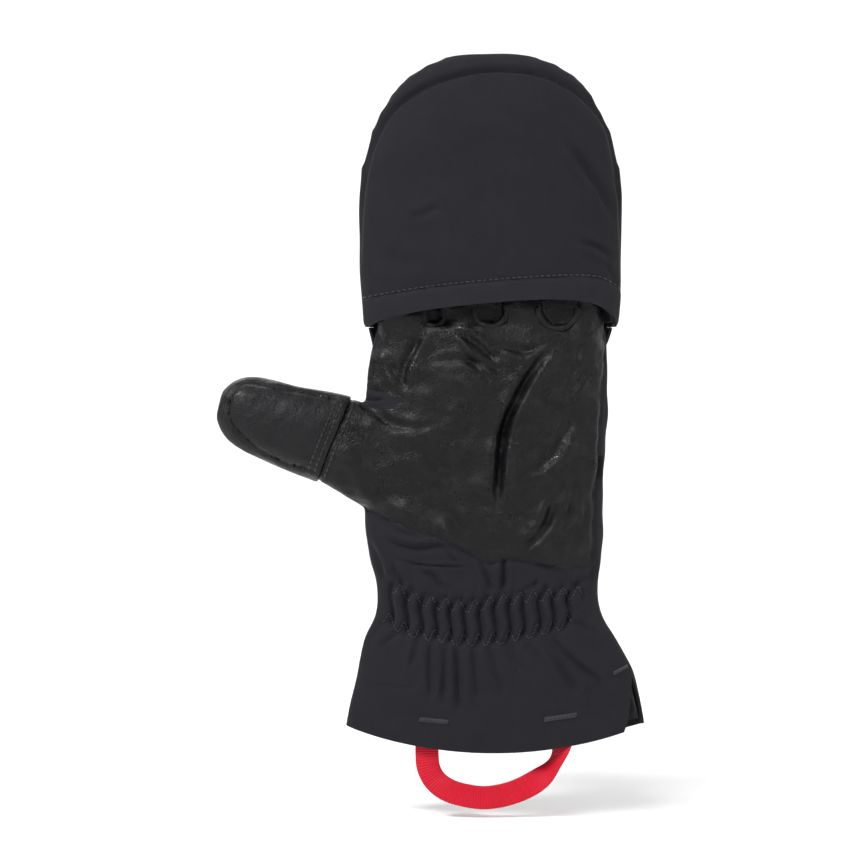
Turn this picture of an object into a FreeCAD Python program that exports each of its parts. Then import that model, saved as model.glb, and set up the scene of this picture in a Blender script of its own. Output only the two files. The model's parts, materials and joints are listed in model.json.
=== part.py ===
"""A left-hand convertible ski mitten: a half-finger glove with a flip-back hood and thumb cap.

Frame: millimetres, +Z towards the fingertips, +Y out of the back of the hand, -Y out of the
palm, -X towards the thumb. The origin is the centre of the hand opening at the wrist elastic.
Every layer of cloth is the gap between two nested hollow forms, so a layer's thickness and its
place are set by its two insets from the outer surface.
"""
import FreeCAD, Part
import math
import os

V = FreeCAD.Vector

# ---- driving dimensions: the glove sleeve, from the cuff hem to the knuckles ----
hem_half_width = 66.0
hem_depth = 24.0
hem_drop = 59.0          # the hem's lowest point, below the wrist elastic
hem_radius = 195.0       # the hem is cut as this arc
wrist_half_width = 49.0
wrist_depth = 22.5
palm_half_width = 52.5
palm_depth = 28.0
knuckle_height = 126.0   # the finger crotches
knuckle_half_width = 50.5
knuckle_depth = 26.5

# ---- cloth layers ----
shell_thick = 1.2
insulation_thick = 2.0
lining_thick = 1.2
layer_gap = 0.2
side_seam_y = -4.0       # the seam between the palm side and the back

# ---- half fingers ----
finger_width = 23.0
finger_gap = 1.0
finger_depth = 19.5
finger_corner = 5.0
finger_length = 26.0
fork_front_y, fork_back_y = -6.0, 5.0    # the leather forks, between the palm's and the back's cloth

# ---- flip-back hood ----
hood_half_width = 57.8
hood_front = 17.0
hood_back = 14.0
hood_length = 120.5      # from the fold to the tip
hood_dome_length = 81.5
skirt_height = 9.0       # the sewn band below the fold
skirt_tuck = 4.0         # how much narrower the band's lower edge is, each side
hood_seam_y = -9.0       # the seam between the hood's palm side and its back
hem_band_width = 11.0
hem_band_thick = 1.3
hood_wall = 1.2
lining_set_back = 1.5    # the lining's edge, above the hem
hem_rise_left, hem_rise_middle, hem_rise_right = -0.5, 11.0, 3.5    # the hem, above the fold
hem_middle_x = 8.0

# ---- thumb ----
thumb_tilt = 15.0        # degrees above square to the hand
slit_tilt = 22.0         # degrees, the slit's own slant
slit_x, slit_z = -68.5, 77.0
thumb_half_width = 19.9
thumb_root_half_width = 27.0
thumb_front, thumb_back = 12.0, 10.5
thumb_cap_length = 52.5
thumb_taper = 2.5        # how much narrower the cap is than the thumb at its slit, each side
pad_margin = 4.2         # the pad's seam, inside the cap's outline
pad_root = 12.0          # how far the pad's sides run on before the slit
sheath_reach = 4.0       # the inner sheath, past the slit

gusset_span = (-62.0, -41.0)
gusset_depth = (-9.0, 8.0)
gusset_rise = (11.5, 24.5)    # above the slit's middle

# ---- wrist elastic, cuff slit, webbing loop, magnets ----
elastic_half_height = 8.0
elastic_margin = 1.0     # cloth past the elastic's edges
elastic_row = 5.8        # each stitch row, from the elastic's middle
slit_top, slit_gap = -24.0, 6.0
slit_start = 45.0        # the slit is cut from here outwards along X
cuff_lining_set_back = 2.0
webbing_width, webbing_thick = 10.5, 1.4
loop_half_span = 28.5    # to the middle of each leg
loop_x = 0.8
loop_drop = 25.0         # below the hem
loop_top = -41.0         # the sewn ends' upper edge, inside the cuff
loop_plane_y = -7.3
loop_hinge_gap = 0.4
magnet_radius, magnet_thick = 7.5, 1.1
magnet_x, magnet_height = 10.0, 25.0   # height above the fold

# ---- clearances ----
hinge_stand_off = 0.5    # a fold's axis, outside the back of the cloth
fold_gap = 0.3
thread_thick = 0.4
thread_sink = 0.1        # how far a thread is pulled into the cloth
finger_hood_gap = 0.5    # between the half fingers and the hood's lining
finger_sweep_gap = 0.8   # between the half fingers and the hood's swinging hem

# ---- stitches ----
stitch_width, stitch_pitch, stitch_length = 0.8, 3.2, 2.0
hem_stitch_pitch, hem_stitch_length = 3.0, 1.9
hem_row_rise = 0.9       # the hem's row, above the band
zigzag_width, zigzag_pitch, zigzag_length, zigzag_angle = 0.9, 3.6, 3.2, 60
zigzag_half_span, zigzag_bow = 41.0, 3.5
slit_row_half_span = 15.0
cap_rows, base_row = (2.4, 5.6), -3.4    # past the thumb slit
bartack_width = 2.2
slit_bartack_width = 1.6

SECTION_POINTS = 24
PAD_POINTS = 8
ROUND = 2.3              # superellipse power of a stuffed cross-section
DOME = 2.6               # superellipse power of a rounded end
TIP = 2.2                # superellipse power of a thinning tip
PAD_END = 3.0            # superellipse power of the thumb pad's end
FAR = 400.0

inset_shell = (0.0, shell_thick)
inset_insulation = (shell_thick + layer_gap, shell_thick + layer_gap + insulation_thick)
inset_lining = (inset_insulation[1] + layer_gap, inset_insulation[1] + layer_gap + lining_thick)
inset_cuff_lining = (shell_thick + layer_gap, shell_thick + layer_gap + lining_thick)
fold_z = knuckle_height
fold_y = hood_back + hinge_stand_off
finger_back_y = hood_back - inset_lining[1] - finger_hood_gap
loop_hinge_z = -hem_drop - loop_hinge_gap
magnet_rim = magnet_x + magnet_radius


def power(value, exponent):
    """A signed power, as a superellipse needs."""
    return math.copysign(abs(value) ** exponent, value)


def falloff(share, exponent=DOME):
    """The height of a unit superellipse at this share of its length."""
    return (1.0 - min(max(share, 0.0), 1.0) ** exponent) ** (1.0 / exponent)


def oval(centre, across, deep, half_width, half_depth):
    """A closed smooth wire round centre, half_width along across and half_depth along deep."""
    points = []
    for k in range(SECTION_POINTS):
        angle = 2 * math.pi * k / SECTION_POINTS
        u = half_width * power(math.cos(angle), 2 / ROUND)
        v = half_depth * power(math.sin(angle), 2 / ROUND)
        points.append(centre + across * u + deep * v)
    curve = Part.BSplineCurve()
    curve.interpolate(points, PeriodicFlag=True)
    return Part.Wire(curve.toShape())


def upright_oval(z, centre_x, half_width, front, back, inset):
    """A section of the sleeve or the hood, square to +Z."""
    centre = V(centre_x, (back - front) / 2, z)
    return oval(centre, V(1, 0, 0), V(0, 1, 0), half_width - inset, (front + back) / 2 - inset)


def box(x0, x1, y0, y1, z0, z1):
    return Part.makeBox(x1 - x0, y1 - y0, z1 - z0, V(x0, y0, z0))


def prism(points):
    """The region inside a closed outline of (x, z) points, through the whole depth."""
    corners = [V(x, -FAR, z) for x, z in points]
    return Part.Face(Part.makePolygon(corners + corners[:1])).extrude(V(0, 2 * FAR, 0))


def between(z0, z1):
    return box(-FAR, FAR, -FAR, FAR, z0, z1)


def palm_side(y=side_seam_y):
    return box(-FAR, FAR, -FAR, y, -FAR, FAR)


def back_side(y=side_seam_y):
    return box(-FAR, FAR, y, FAR, -FAR, FAR)


def joined(shapes):
    """Several solids as one compound of separate solids."""
    return Part.makeCompound([solid for shape in shapes for solid in shape.Solids])


def fused(first, *others):
    return first.fuse(list(others))


# ---------------------------------------------------------------- the glove sleeve and thumb
def steady_slopes(places, values):
    """Slopes for a smooth curve through values that never overshoots them."""
    steps = [(values[k + 1] - values[k]) / (places[k + 1] - places[k]) for k in range(len(values) - 1)]
    slopes = [steps[0]]
    for before, after in zip(steps, steps[1:]):
        same_way = before * after > 0
        slopes.append(2 * before * after / (before + after) if same_way else 0.0)
    return slopes + [steps[-1]]


def smooth_between(stations, place):
    """The row of values at a place, smoothly between rows that each start with their place."""
    places = [row[0] for row in stations]
    k = max(i for i in range(len(places) - 1) if i == 0 or places[i] <= place)
    width = places[k + 1] - places[k]
    t = (place - places[k]) / width
    row = []
    for column in range(1, len(stations[0])):
        values = [station[column] for station in stations]
        slopes = steady_slopes(places, values)
        row.append(values[k] * (1 + 2 * t) * (1 - t) ** 2 + values[k + 1] * t * t * (3 - 2 * t)
                   + width * (slopes[k] * t * (1 - t) ** 2 - slopes[k + 1] * t * t * (1 - t)))
    return row


# height, centre x, half width, front and back depth
sleeve_stations = [
    (-hem_drop - 6, 1.0, hem_half_width + 1, hem_depth / 2, hem_depth / 2),
    (-hem_drop * 0.65, 2.0, hem_half_width - 2.0, hem_depth / 2, hem_depth / 2),
    (-hem_drop * 0.24, -0.5, wrist_half_width + 7.0, wrist_depth / 2, hem_depth / 2),
    (0.0, -1.5, wrist_half_width, wrist_depth / 2 - 0.5, wrist_depth / 2 + 0.5),
    (knuckle_height * 0.11, -2.0, wrist_half_width, wrist_depth / 2 + 0.8, wrist_depth / 2 + 1),
    (knuckle_height * 0.32, -3.5, palm_half_width, palm_depth / 2 + 1, palm_depth / 2 - 1),
    (knuckle_height * 0.65, -2.5, palm_half_width, palm_depth / 2 + 1, palm_depth / 2 - 1),
    (knuckle_height, 0.0, knuckle_half_width, knuckle_depth / 2 + 0.8, knuckle_depth / 2 - 0.8),
    (knuckle_height + 8, 0.0, knuckle_half_width, knuckle_depth / 2 + 0.8, knuckle_depth / 2 - 0.8),
]
SLEEVE_SECTIONS = 14


def sleeve(inset):
    """The sleeve's form from below the hem to the knuckles."""
    low, high = sleeve_stations[0][0], sleeve_stations[-1][0]
    wires = []
    for k in range(SLEEVE_SECTIONS):
        z = low + (high - low) * k / (SLEEVE_SECTIONS - 1)
        wires.append(upright_oval(z, *smooth_between(sleeve_stations, z), inset))
    return Part.makeLoft(wires, True, False)


thumb_along = V(-math.cos(math.radians(thumb_tilt)), 0, math.sin(math.radians(thumb_tilt)))
thumb_across = V(math.sin(math.radians(thumb_tilt)), 0, math.cos(math.radians(thumb_tilt)))
slit_normal = V(-math.cos(math.radians(slit_tilt)), 0, math.sin(math.radians(slit_tilt)))
slit_middle = V(slit_x, 0, slit_z)


def thumb_oval(along, offset, half_width, share, inset):
    """A section of the thumb square to its axis; share thins its depth towards the tip."""
    depth = (thumb_front + thumb_back) / 2
    middle = V(0, (thumb_back - thumb_front) / 2, 0)
    centre = slit_middle + thumb_along * along + thumb_across * offset + middle
    return oval(centre, thumb_across, V(0, 1, 0), half_width - inset, depth * share - inset)


def thumb(inset):
    """The thumb's form from inside the palm to its rounded tip."""
    wires = [
        thumb_oval(-34, -7.0, thumb_root_half_width, 1.0, inset),
        thumb_oval(-20, -5.0, thumb_half_width + 4.1, 1.0, inset),
        thumb_oval(0, -1.2, thumb_half_width, 1.0, inset),
    ]
    straight = thumb_cap_length * 0.38
    dome = thumb_cap_length - straight - inset
    tip_half_width = thumb_half_width - thumb_taper
    for share in (0.0, 0.45, 0.7, 0.87, 0.96, 0.997):
        width = (tip_half_width - inset) * falloff(share) + inset
        depth_share = falloff((share - 0.35) / 0.65, TIP)
        depth = (thumb_front + thumb_back) / 2
        thin = ((depth - inset) * depth_share + inset) / depth
        wires.append(thumb_oval(straight + dome * share, -0.8 + 1.6 * share, width, thin, inset))
    return Part.makeLoft(wires, True, False)


def past_slit(distance):
    """Everything on the thumb-tip side of the slit, this far past it."""
    block = Part.makeBox(FAR, 2 * FAR, 2 * FAR, V(0, -FAR, -FAR))
    block.rotate(V(0, 0, 0), V(0, 1, 0), 180 + slit_tilt)
    block.translate(slit_middle + slit_normal * distance)
    return block


def hem_disc(rise):
    """A disc whose lower arc is the cuff hem, raised by rise."""
    centre = V(1.0, -FAR, hem_radius - hem_drop)
    return Part.makeCylinder(hem_radius - rise, 2 * FAR, centre, V(0, 1, 0))


knuckle_plate = shell_thick
glove_top = fold_z - knuckle_plate - layer_gap
cores = {}


def core(inset):
    """The sleeve and the thumb as one form, trimmed at the thumb slit."""
    if inset not in cores:
        trimmed = thumb(inset).cut(past_slit(-fold_gap))
        cores[inset] = sleeve(inset).fuse(trimmed)
    return cores[inset]


def cloth(insets):
    return core(insets[0]).cut(core(insets[1]))


# the lower edge of the palm leather, from the little-finger side to the thumb
leather_edge = [
    (FAR, 27.0), (44.5, 27.0), (41.0, 22.5), (30.0, 20.7), (5.4, 24.8), (-3.6, 21.9),
    (-10.3, 29.3), (-23.7, 34.9), (-41.6, 38.0), (-FAR, 40.0),
]
leather_region = prism(leather_edge + [(-FAR, FAR), (FAR, FAR)])
gusset_region = box(*gusset_span, *gusset_depth, slit_z + gusset_rise[0], slit_z + gusset_rise[1])
cuff_top = -elastic_half_height - elastic_margin


# ---------------------------------------------------------------- half fingers
finger_pitch = finger_width + finger_gap
finger_lefts = [-2 * finger_pitch + finger_gap / 2 + k * finger_pitch for k in range(4)]
finger_front_y = finger_back_y - finger_depth


def rounded_box(x0, x1, y0, y1, z0, z1, corner):
    """A box whose upright edges are rounded."""
    solid = box(x0, x1, y0, y1, z0, z1)
    upright = [e for e in solid.Edges if abs(e.tangentAt(e.FirstParameter).z) > 0.99]
    return solid.makeFillet(corner, upright)


def finger_form(left, inset):
    """One half finger, kept inside the room that the hood's lining leaves."""
    form = rounded_box(left + inset, left + finger_width - inset, finger_front_y + inset,
                       finger_back_y - inset, fold_z - skirt_height, fold_z + finger_length,
                       finger_corner - inset)
    return form.common(hood_form(inset_lining[1] + finger_hood_gap + inset))


def hood_centre_y():
    return (hood_back - hood_front) / 2


def hood_face_y(x, inset):
    """The depth of the hood's palm-side face at x, where the hood is straight-sided."""
    share = falloff(abs(x) / (hood_half_width - inset), ROUND)
    return hood_centre_y() - ((hood_front + hood_back) / 2 - inset) * share


def arc_through(a, b, c):
    """The centre and radius, in x and z, of the circle through three (x, z) points."""
    (ax, az), (bx, bz), (cx, cz) = a, b, c
    d = 2 * (ax * (bz - cz) + bx * (cz - az) + cx * (az - bz))
    a2, b2, c2 = ax * ax + az * az, bx * bx + bz * bz, cx * cx + cz * cz
    x = (a2 * (bz - cz) + b2 * (cz - az) + c2 * (az - bz)) / d
    z = (a2 * (cx - bx) + b2 * (ax - cx) + c2 * (bx - ax)) / d
    return x, z, math.hypot(ax - x, az - z)


hem_arc = arc_through((-hood_half_width, fold_z + hem_rise_left), (hem_middle_x, fold_z + hem_rise_middle),
                      (hood_half_width, fold_z + hem_rise_right))


def hood_hem_z(x):
    return hem_arc[1] + math.sqrt(hem_arc[2] ** 2 - (x - hem_arc[0]) ** 2)


def finger_sweep(left):
    """The room that the hood's swinging hem leaves for one half finger, about the fold."""
    hood_inside = inset_lining[1]
    reach = min(
        math.hypot(fold_y - hood_face_y(x, hood_inside), hood_hem_z(x) - fold_z)
        for x in (left, left + finger_width / 2, left + finger_width)
    )
    radius = reach - finger_sweep_gap
    return Part.makeCylinder(radius, 2 * FAR, V(-FAR, fold_y, fold_z), V(1, 0, 0))


def fingers():
    """The palm sides, the backs and the forks of the four half fingers."""
    tubes = []
    for left in finger_lefts:
        tube = finger_form(left, 0).cut(finger_form(left, shell_thick))
        tubes.append(tube.common(finger_sweep(left)).common(between(fold_z, FAR)))
    fronts = [tube.common(palm_side(fork_front_y)) for tube in tubes]
    backs = [tube.common(back_side(fork_back_y)) for tube in tubes]

    def side_wall(x0, x1):
        return box(x0, x1, fork_front_y, fork_back_y, fold_z, FAR)

    index_side = side_wall(-FAR, finger_lefts[0] + finger_corner)
    little_side = side_wall(finger_lefts[3] + finger_width - finger_corner, FAR)
    fronts[0] = fused(fronts[0], tubes[0].common(index_side))
    fronts[3] = fused(fronts[3], tubes[3].common(little_side))
    forks = []
    for k in range(3):
        right = finger_lefts[k] + finger_width
        left = finger_lefts[k + 1]
        bridge = box(right - shell_thick, left + shell_thick, fork_front_y, fork_back_y,
                     fold_z, fold_z + shell_thick)
        near = tubes[k].common(side_wall(right - finger_corner, right))
        far = tubes[k + 1].common(side_wall(left, left + finger_corner))
        forks.append(fused(bridge, near, far))
    return fronts, backs, forks


# ---------------------------------------------------------------- hood
def hood(inset):
    """The hood's form from the skirt's lower edge to its tip."""
    dome_start = fold_z + hood_length - hood_dome_length
    dome = hood_dome_length - inset
    wires = [
        upright_oval(fold_z - skirt_height - 1, 0.0, hood_half_width - skirt_tuck, hood_front - 2,
                     hood_back, inset),
        upright_oval(fold_z, 0.0, hood_half_width, hood_front, hood_back, inset),
        upright_oval(fold_z + 20, 0.0, hood_half_width, hood_front, hood_back, inset),
        upright_oval(dome_start, 0.0, hood_half_width, hood_front - 0.5, hood_back, inset),
    ]
    for share in (0.35, 0.6, 0.8, 0.92, 0.975, 0.998):
        width = (hood_half_width - inset) * falloff(share) + inset
        depth = (hood_front + hood_back) / 2
        thin = falloff((share - 0.55) / 0.45, TIP)
        half = (depth - 0.5 * share - inset) * thin + inset
        centre_y = hood_centre_y()
        wires.append(upright_oval(dome_start + dome * share, 1.0 * share, width,
                                  half - centre_y, half + centre_y, inset))
    return Part.makeLoft(wires, True, False)


def above_hem(rise):
    """Everything above the hood's curved hem, raised by rise."""
    x, z, radius = hem_arc
    disc = Part.makeCylinder(radius + rise, 2 * FAR, V(x, -FAR, z), V(0, 1, 0))
    return between(fold_z - 20, FAR).cut(disc)


hood_forms = {}


def hood_form(inset):
    if inset not in hood_forms:
        hood_forms[inset] = hood(inset)
    return hood_forms[inset]


def hood_cloth(insets):
    return hood_form(insets[0]).cut(hood_form(insets[1]))


def magnet(face_y, x, z, inwards):
    """A disc just inside the outer cloth; inwards is +1 or -1 along Y."""
    start = face_y + inwards * (inset_insulation[0] + (insulation_thick - magnet_thick) / 2)
    return Part.makeCylinder(magnet_radius, magnet_thick, V(x, start, z), V(0, inwards, 0))


def magnet_pocket(disc):
    """The room that a magnet takes out of the wadding, through its whole depth."""
    centre = disc.BoundBox.Center
    depth = 2 * inset_lining[1]
    return Part.makeCylinder(magnet_radius + layer_gap, depth,
                             V(centre.x, centre.y - depth / 2, centre.z), V(0, 1, 0))


# ---------------------------------------------------------------- stitches
def sleeve_face_y(x, z, side=-1):
    """The depth of the sleeve's palm-side face, or of its back for a side of 1."""
    centre_x, half_width, front, back = smooth_between(sleeve_stations, z)
    share = falloff(abs(x - centre_x) / half_width, ROUND)
    return (back - front) / 2 + side * (front + back) / 2 * share


def hood_palm_face_y(x, _):
    """The depth of the hood's palm-side face, the same at any height below its dome."""
    return hood_face_y(x, 0.0)


def thumb_face_y(x, z):
    """The depth of the thumb's palm-side face, near the slit."""
    at = V(x, 0, z) - slit_middle
    share = falloff(abs(at.dot(thumb_across) + 1.0) / (thumb_half_width - 1.0), ROUND)
    return (thumb_back - thumb_front) / 2 - (thumb_back + thumb_front) / 2 * share


def stitch(face_y, place, length, height):
    """A thin block lying on a face; place is (x, z, angle), the angle turning its length."""
    x, z, angle = place
    reach = V(math.cos(angle), 0, math.sin(angle)) * (length / 2)
    start = V(x - reach.x, face_y(x - reach.x, z - reach.z), z - reach.z)
    end = V(x + reach.x, face_y(x + reach.x, z + reach.z), z + reach.z)
    along = (end - start).normalize()
    outward = V(math.sin(angle), 0, -math.cos(angle)).cross(along).normalize()
    up = outward.cross(along)
    block = Part.makeBox(length, height, thread_thick, V(-length / 2, -height / 2, -thread_sink))
    turn = FreeCAD.Matrix(along.x, up.x, outward.x, x, along.y, up.y, outward.y, face_y(x, z),
                          along.z, up.z, outward.z, z, 0, 0, 0, 1)
    return block.transformGeometry(turn)


def along_hem(rise, pitch, margin):
    """Places evenly spaced along the hood hem."""
    x, z, radius = hem_arc
    radius += rise
    first = math.acos((-hood_half_width + margin - x) / radius)
    last = math.acos((hood_half_width - margin - x) / radius)
    count = int((first - last) * radius / pitch)
    for k in range(count + 1):
        angle = first + (last - first) * k / count
        yield x + radius * math.cos(angle), z + radius * math.sin(angle), angle - math.pi / 2


def along_slit(distance, pitch, half_length):
    """Places evenly spaced along the thumb slit, at a distance past it."""
    line = V(math.sin(math.radians(slit_tilt)), 0, math.cos(math.radians(slit_tilt)))
    angle = math.atan2(line.z, line.x)
    count = int(2 * half_length / pitch)
    for k in range(count + 1):
        at = slit_middle + slit_normal * distance + line * (-half_length + 2 * half_length * k / count)
        yield at.x, at.z, angle


def across_wrist(z):
    """Places along one bowed zigzag row across the wrist."""
    count = int(2 * zigzag_half_span / zigzag_pitch)
    for k in range(count + 1):
        share = 2 * k / count - 1
        angle = zigzag_angle if k % 2 else -zigzag_angle
        yield zigzag_half_span * share, z + zigzag_bow * share ** 2, math.radians(angle)


# ---------------------------------------------------------------- the parts
def cuff_slit():
    """The wedge cut out of the cuff on the little finger's side, widest at the hem."""
    below_hem = -hem_drop - elastic_half_height
    corners = [V(slit_start, side_seam_y, slit_top), V(slit_start, side_seam_y - slit_gap / 2, below_hem),
               V(slit_start, side_seam_y + slit_gap / 2, below_hem)]
    return Part.Face(Part.makePolygon(corners + corners[:1])).extrude(V(FAR, 0, 0))


def glove_parts():
    insulation = cloth(inset_insulation)
    lining = cloth(inset_lining)
    hem = hem_disc(0)
    fronts, backs, forks = fingers()

    hollow = core(shell_thick).common(between(-FAR, fold_z - knuckle_plate))
    outer = core(0.0).common(between(-FAR, fold_z)).cut(hollow)
    for left in finger_lefts:
        outer = outer.cut(finger_form(left, shell_thick))
    gusset = outer.common(gusset_region)
    outer = outer.cut(gusset_region)

    palm = outer.common(palm_side()).common(leather_region)
    palm = fused(palm, *fronts)
    wrist_front = outer.common(palm_side()).cut(leather_region).common(hem)
    back = outer.common(back_side())
    back_panel = fused(back.common(between(cuff_top, FAR)), *backs)
    cuff_back = back.common(between(-FAR, cuff_top)).common(hem)

    wedge = cuff_slit()
    wrist_front = wrist_front.cut(wedge)
    cuff_back = cuff_back.cut(wedge)

    cuff_lining = cloth(inset_cuff_lining).common(hem_disc(cuff_lining_set_back))
    cuff_lining = cuff_lining.common(between(-FAR, cuff_top - layer_gap)).cut(wedge)

    inner = between(elastic_half_height + elastic_margin, glove_top)
    lining_zone = between(cuff_top, glove_top)
    magnet_z = fold_z - magnet_height
    back_disc = magnet(sleeve_face_y(magnet_rim, magnet_z, 1), magnet_x, magnet_z, -1)
    elastic = cloth(inset_insulation).common(between(-elastic_half_height, elastic_half_height))
    sheath_form = thumb(inset_lining[0]).cut(thumb(inset_lining[1]))
    sheath = sheath_form.cut(past_slit(sheath_reach)).common(past_slit(-fold_gap))
    return {
        "palm_leather": palm,
        "palm_insulation": insulation.common(palm_side()).common(inner),
        "palm_lining": lining.common(palm_side()).common(lining_zone),
        "back_panel": back_panel,
        "back_insulation": insulation.common(back_side()).common(inner).cut(magnet_pocket(back_disc)),
        "back_lining": lining.common(back_side()).common(lining_zone),
        "back_magnet": back_disc,
        "thumb_gusset": gusset,
        "thumb_sheath": sheath,
        "fourchette_index_middle": forks[0],
        "fourchette_middle_ring": forks[1],
        "fourchette_ring_little": forks[2],
        "cuff_palm_panel": wrist_front,
        "cuff_back_panel": cuff_back,
        "cuff_lining_palm": cuff_lining.common(palm_side()),
        "cuff_lining_back": cuff_lining.common(back_side()),
        "wrist_elastic": elastic.common(palm_side()),
    }


def hood_parts():
    shell = hood_cloth((0.0, hood_wall))
    insulation = hood_cloth(inset_insulation)
    lining = hood_cloth(inset_lining)
    front = palm_side(hood_seam_y)
    back = back_side(hood_seam_y).common(between(fold_z + fold_gap, FAR))
    folded = hood_cloth((0.0, hem_band_thick)).common(front).common(above_hem(0))
    band = folded.cut(above_hem(hem_band_width))
    disc = magnet(hood_face_y(magnet_rim, 0), magnet_x, fold_z + magnet_height, 1)
    skirt = shell.common(back_side(hood_seam_y)).common(between(fold_z - skirt_height, fold_z))
    trim = fused(back, front.common(above_hem(lining_set_back)))
    body = insulation.common(trim)
    bag = lining.common(trim)
    return {
        "hood_palm_panel": shell.common(front).common(above_hem(hem_band_width)),
        "hood_hem_band": band,
        "hood_back_panel": shell.common(back),
        "hood_palm_insulation": body.common(palm_side(hood_seam_y)).cut(magnet_pocket(disc)),
        "hood_back_insulation": body.common(back_side(hood_seam_y)),
        "hood_palm_lining": bag.common(palm_side(hood_seam_y)),
        "hood_back_lining": bag.common(back_side(hood_seam_y)),
        "hood_magnet": disc,
        "hood_skirt": skirt,
    }


def pad_region():
    """The inside of the thumb pad's seam, through the whole depth."""
    length = thumb_cap_length - pad_margin
    half_width = thumb_half_width - thumb_taper - pad_margin
    edge = [(-pad_root, half_width)]
    for k in range(PAD_POINTS):
        share = k / PAD_POINTS
        edge.append((length * share, half_width * falloff(share, PAD_END)))
    corners = [slit_middle + thumb_along * along + thumb_across * off for along, off in edge]
    corners.append(slit_middle + thumb_along * length)
    corners += [slit_middle + thumb_along * along - thumb_across * off for along, off in reversed(edge)]
    return prism([(corner.x, corner.z) for corner in corners])


def thumb_cap_parts():
    beyond = past_slit(fold_gap)
    shell = thumb(0.0).cut(thumb(shell_thick)).common(beyond)
    lining = thumb(inset_cuff_lining[0]).cut(thumb(inset_cuff_lining[1])).common(beyond)
    front = shell.common(palm_side())
    pad = pad_region()
    return {
        "thumb_cap_pad": front.common(pad),
        "thumb_cap_rim": front.cut(pad),
        "thumb_cap_back": shell.common(back_side()),
        "thumb_cap_lining": lining,
    }


def loop_parts():
    """The webbing loop: its sewn ends inside the cuff, and the loop that hangs out."""
    half = webbing_width / 2
    hang_z = loop_hinge_z - webbing_thick / 2
    bottom = -hem_drop - loop_drop
    left, right = loop_x - loop_half_span, loop_x + loop_half_span

    def edge_arc(side, drop):
        start, end = V(left + side * half, 0, hang_z), V(right - side * half, 0, hang_z)
        return start, V(loop_x, 0, drop), end

    outer, inner = edge_arc(-1, bottom), edge_arc(1, bottom + webbing_width)
    outline = Part.Wire([
        Part.Arc(*outer).toShape(), Part.makeLine(outer[2], inner[2]),
        Part.Arc(*inner).toShape(), Part.makeLine(inner[0], outer[0]),
    ])
    face_y = loop_plane_y - webbing_thick / 2
    loop = Part.Face(outline).extrude(V(0, webbing_thick, 0))
    loop.translate(V(0, face_y, 0))
    ends = [box(x - half, x + half, face_y, face_y + webbing_thick, loop_hinge_z + layer_gap, loop_top)
            for x in (left, right)]
    return {"pull_loop": loop, "pull_loop_ends": joined(ends)}


def stitches(face_y, places, length, width):
    return [stitch(face_y, place, length, width) for place in places]


def thread_parts():
    hem_places = along_hem(hem_band_width + hem_row_rise, hem_stitch_pitch, 8.0)
    zigzags, caps = [], []
    for row_z in (elastic_row, -elastic_row):
        zigzags += stitches(sleeve_face_y, across_wrist(row_z), zigzag_length, zigzag_width)
    for distance in cap_rows:
        places = along_slit(distance, stitch_pitch, slit_row_half_span)
        caps += stitches(thumb_face_y, places, stitch_length, stitch_width)
    base_places = along_slit(base_row, stitch_pitch, slit_row_half_span)
    left_bar = (loop_x - 26.2, loop_top - 4.2, math.radians(-5))
    right_bar = (loop_x + 29.2, loop_top - 2.0, math.radians(4))
    slit_bar = (55.5, slit_top + 1.6, math.radians(18))
    hem_row = stitches(hood_palm_face_y, hem_places, hem_stitch_length, stitch_width)
    return {
        "hood_hem_stitches": joined(hem_row),
        "elastic_stitches": joined(zigzags),
        "thumb_cap_stitches": joined(caps),
        "thumb_base_stitches": joined(stitches(thumb_face_y, base_places, stitch_length, stitch_width)),
        "loop_bartacks": joined([stitch(sleeve_face_y, left_bar, 12.0, bartack_width),
                                 stitch(sleeve_face_y, right_bar, 13.5, bartack_width)]),
        "slit_bartack": stitch(sleeve_face_y, slit_bar, 7.0, slit_bartack_width),
    }


def main():
    os.makedirs("parts", exist_ok=True)
    parts = {}
    for make in (glove_parts, hood_parts, thumb_cap_parts, loop_parts, thread_parts):
        parts.update(make())
    for name, shape in parts.items():
        solids = shape.Solids
        if not solids:
            raise RuntimeError(f"{name} has no solid")
        whole = solids[0] if len(solids) == 1 else Part.makeCompound(solids)
        whole.exportStep(f"parts/{name}.step")
        print(f"{name}: {len(solids)} solid(s), {sum(s.Volume for s in solids):.0f} mm3, "
              f"valid {whole.isValid()}")


main()
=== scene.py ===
"""A left-hand convertible ski mitten, dressed over its CAD frame: softshell, leather, webbing and thread.

Lengths are millimetres until a mesh is made, in the CAD's own frame: +Z to the fingertips, -Y out
of the palm and -X towards the thumb. "Plan" means seen from the palm side, as (x, z).
"""

import json
import math

import bmesh
import bpy
import numpy as np
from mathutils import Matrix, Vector
from mathutils.bvhtree import BVHTree


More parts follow.
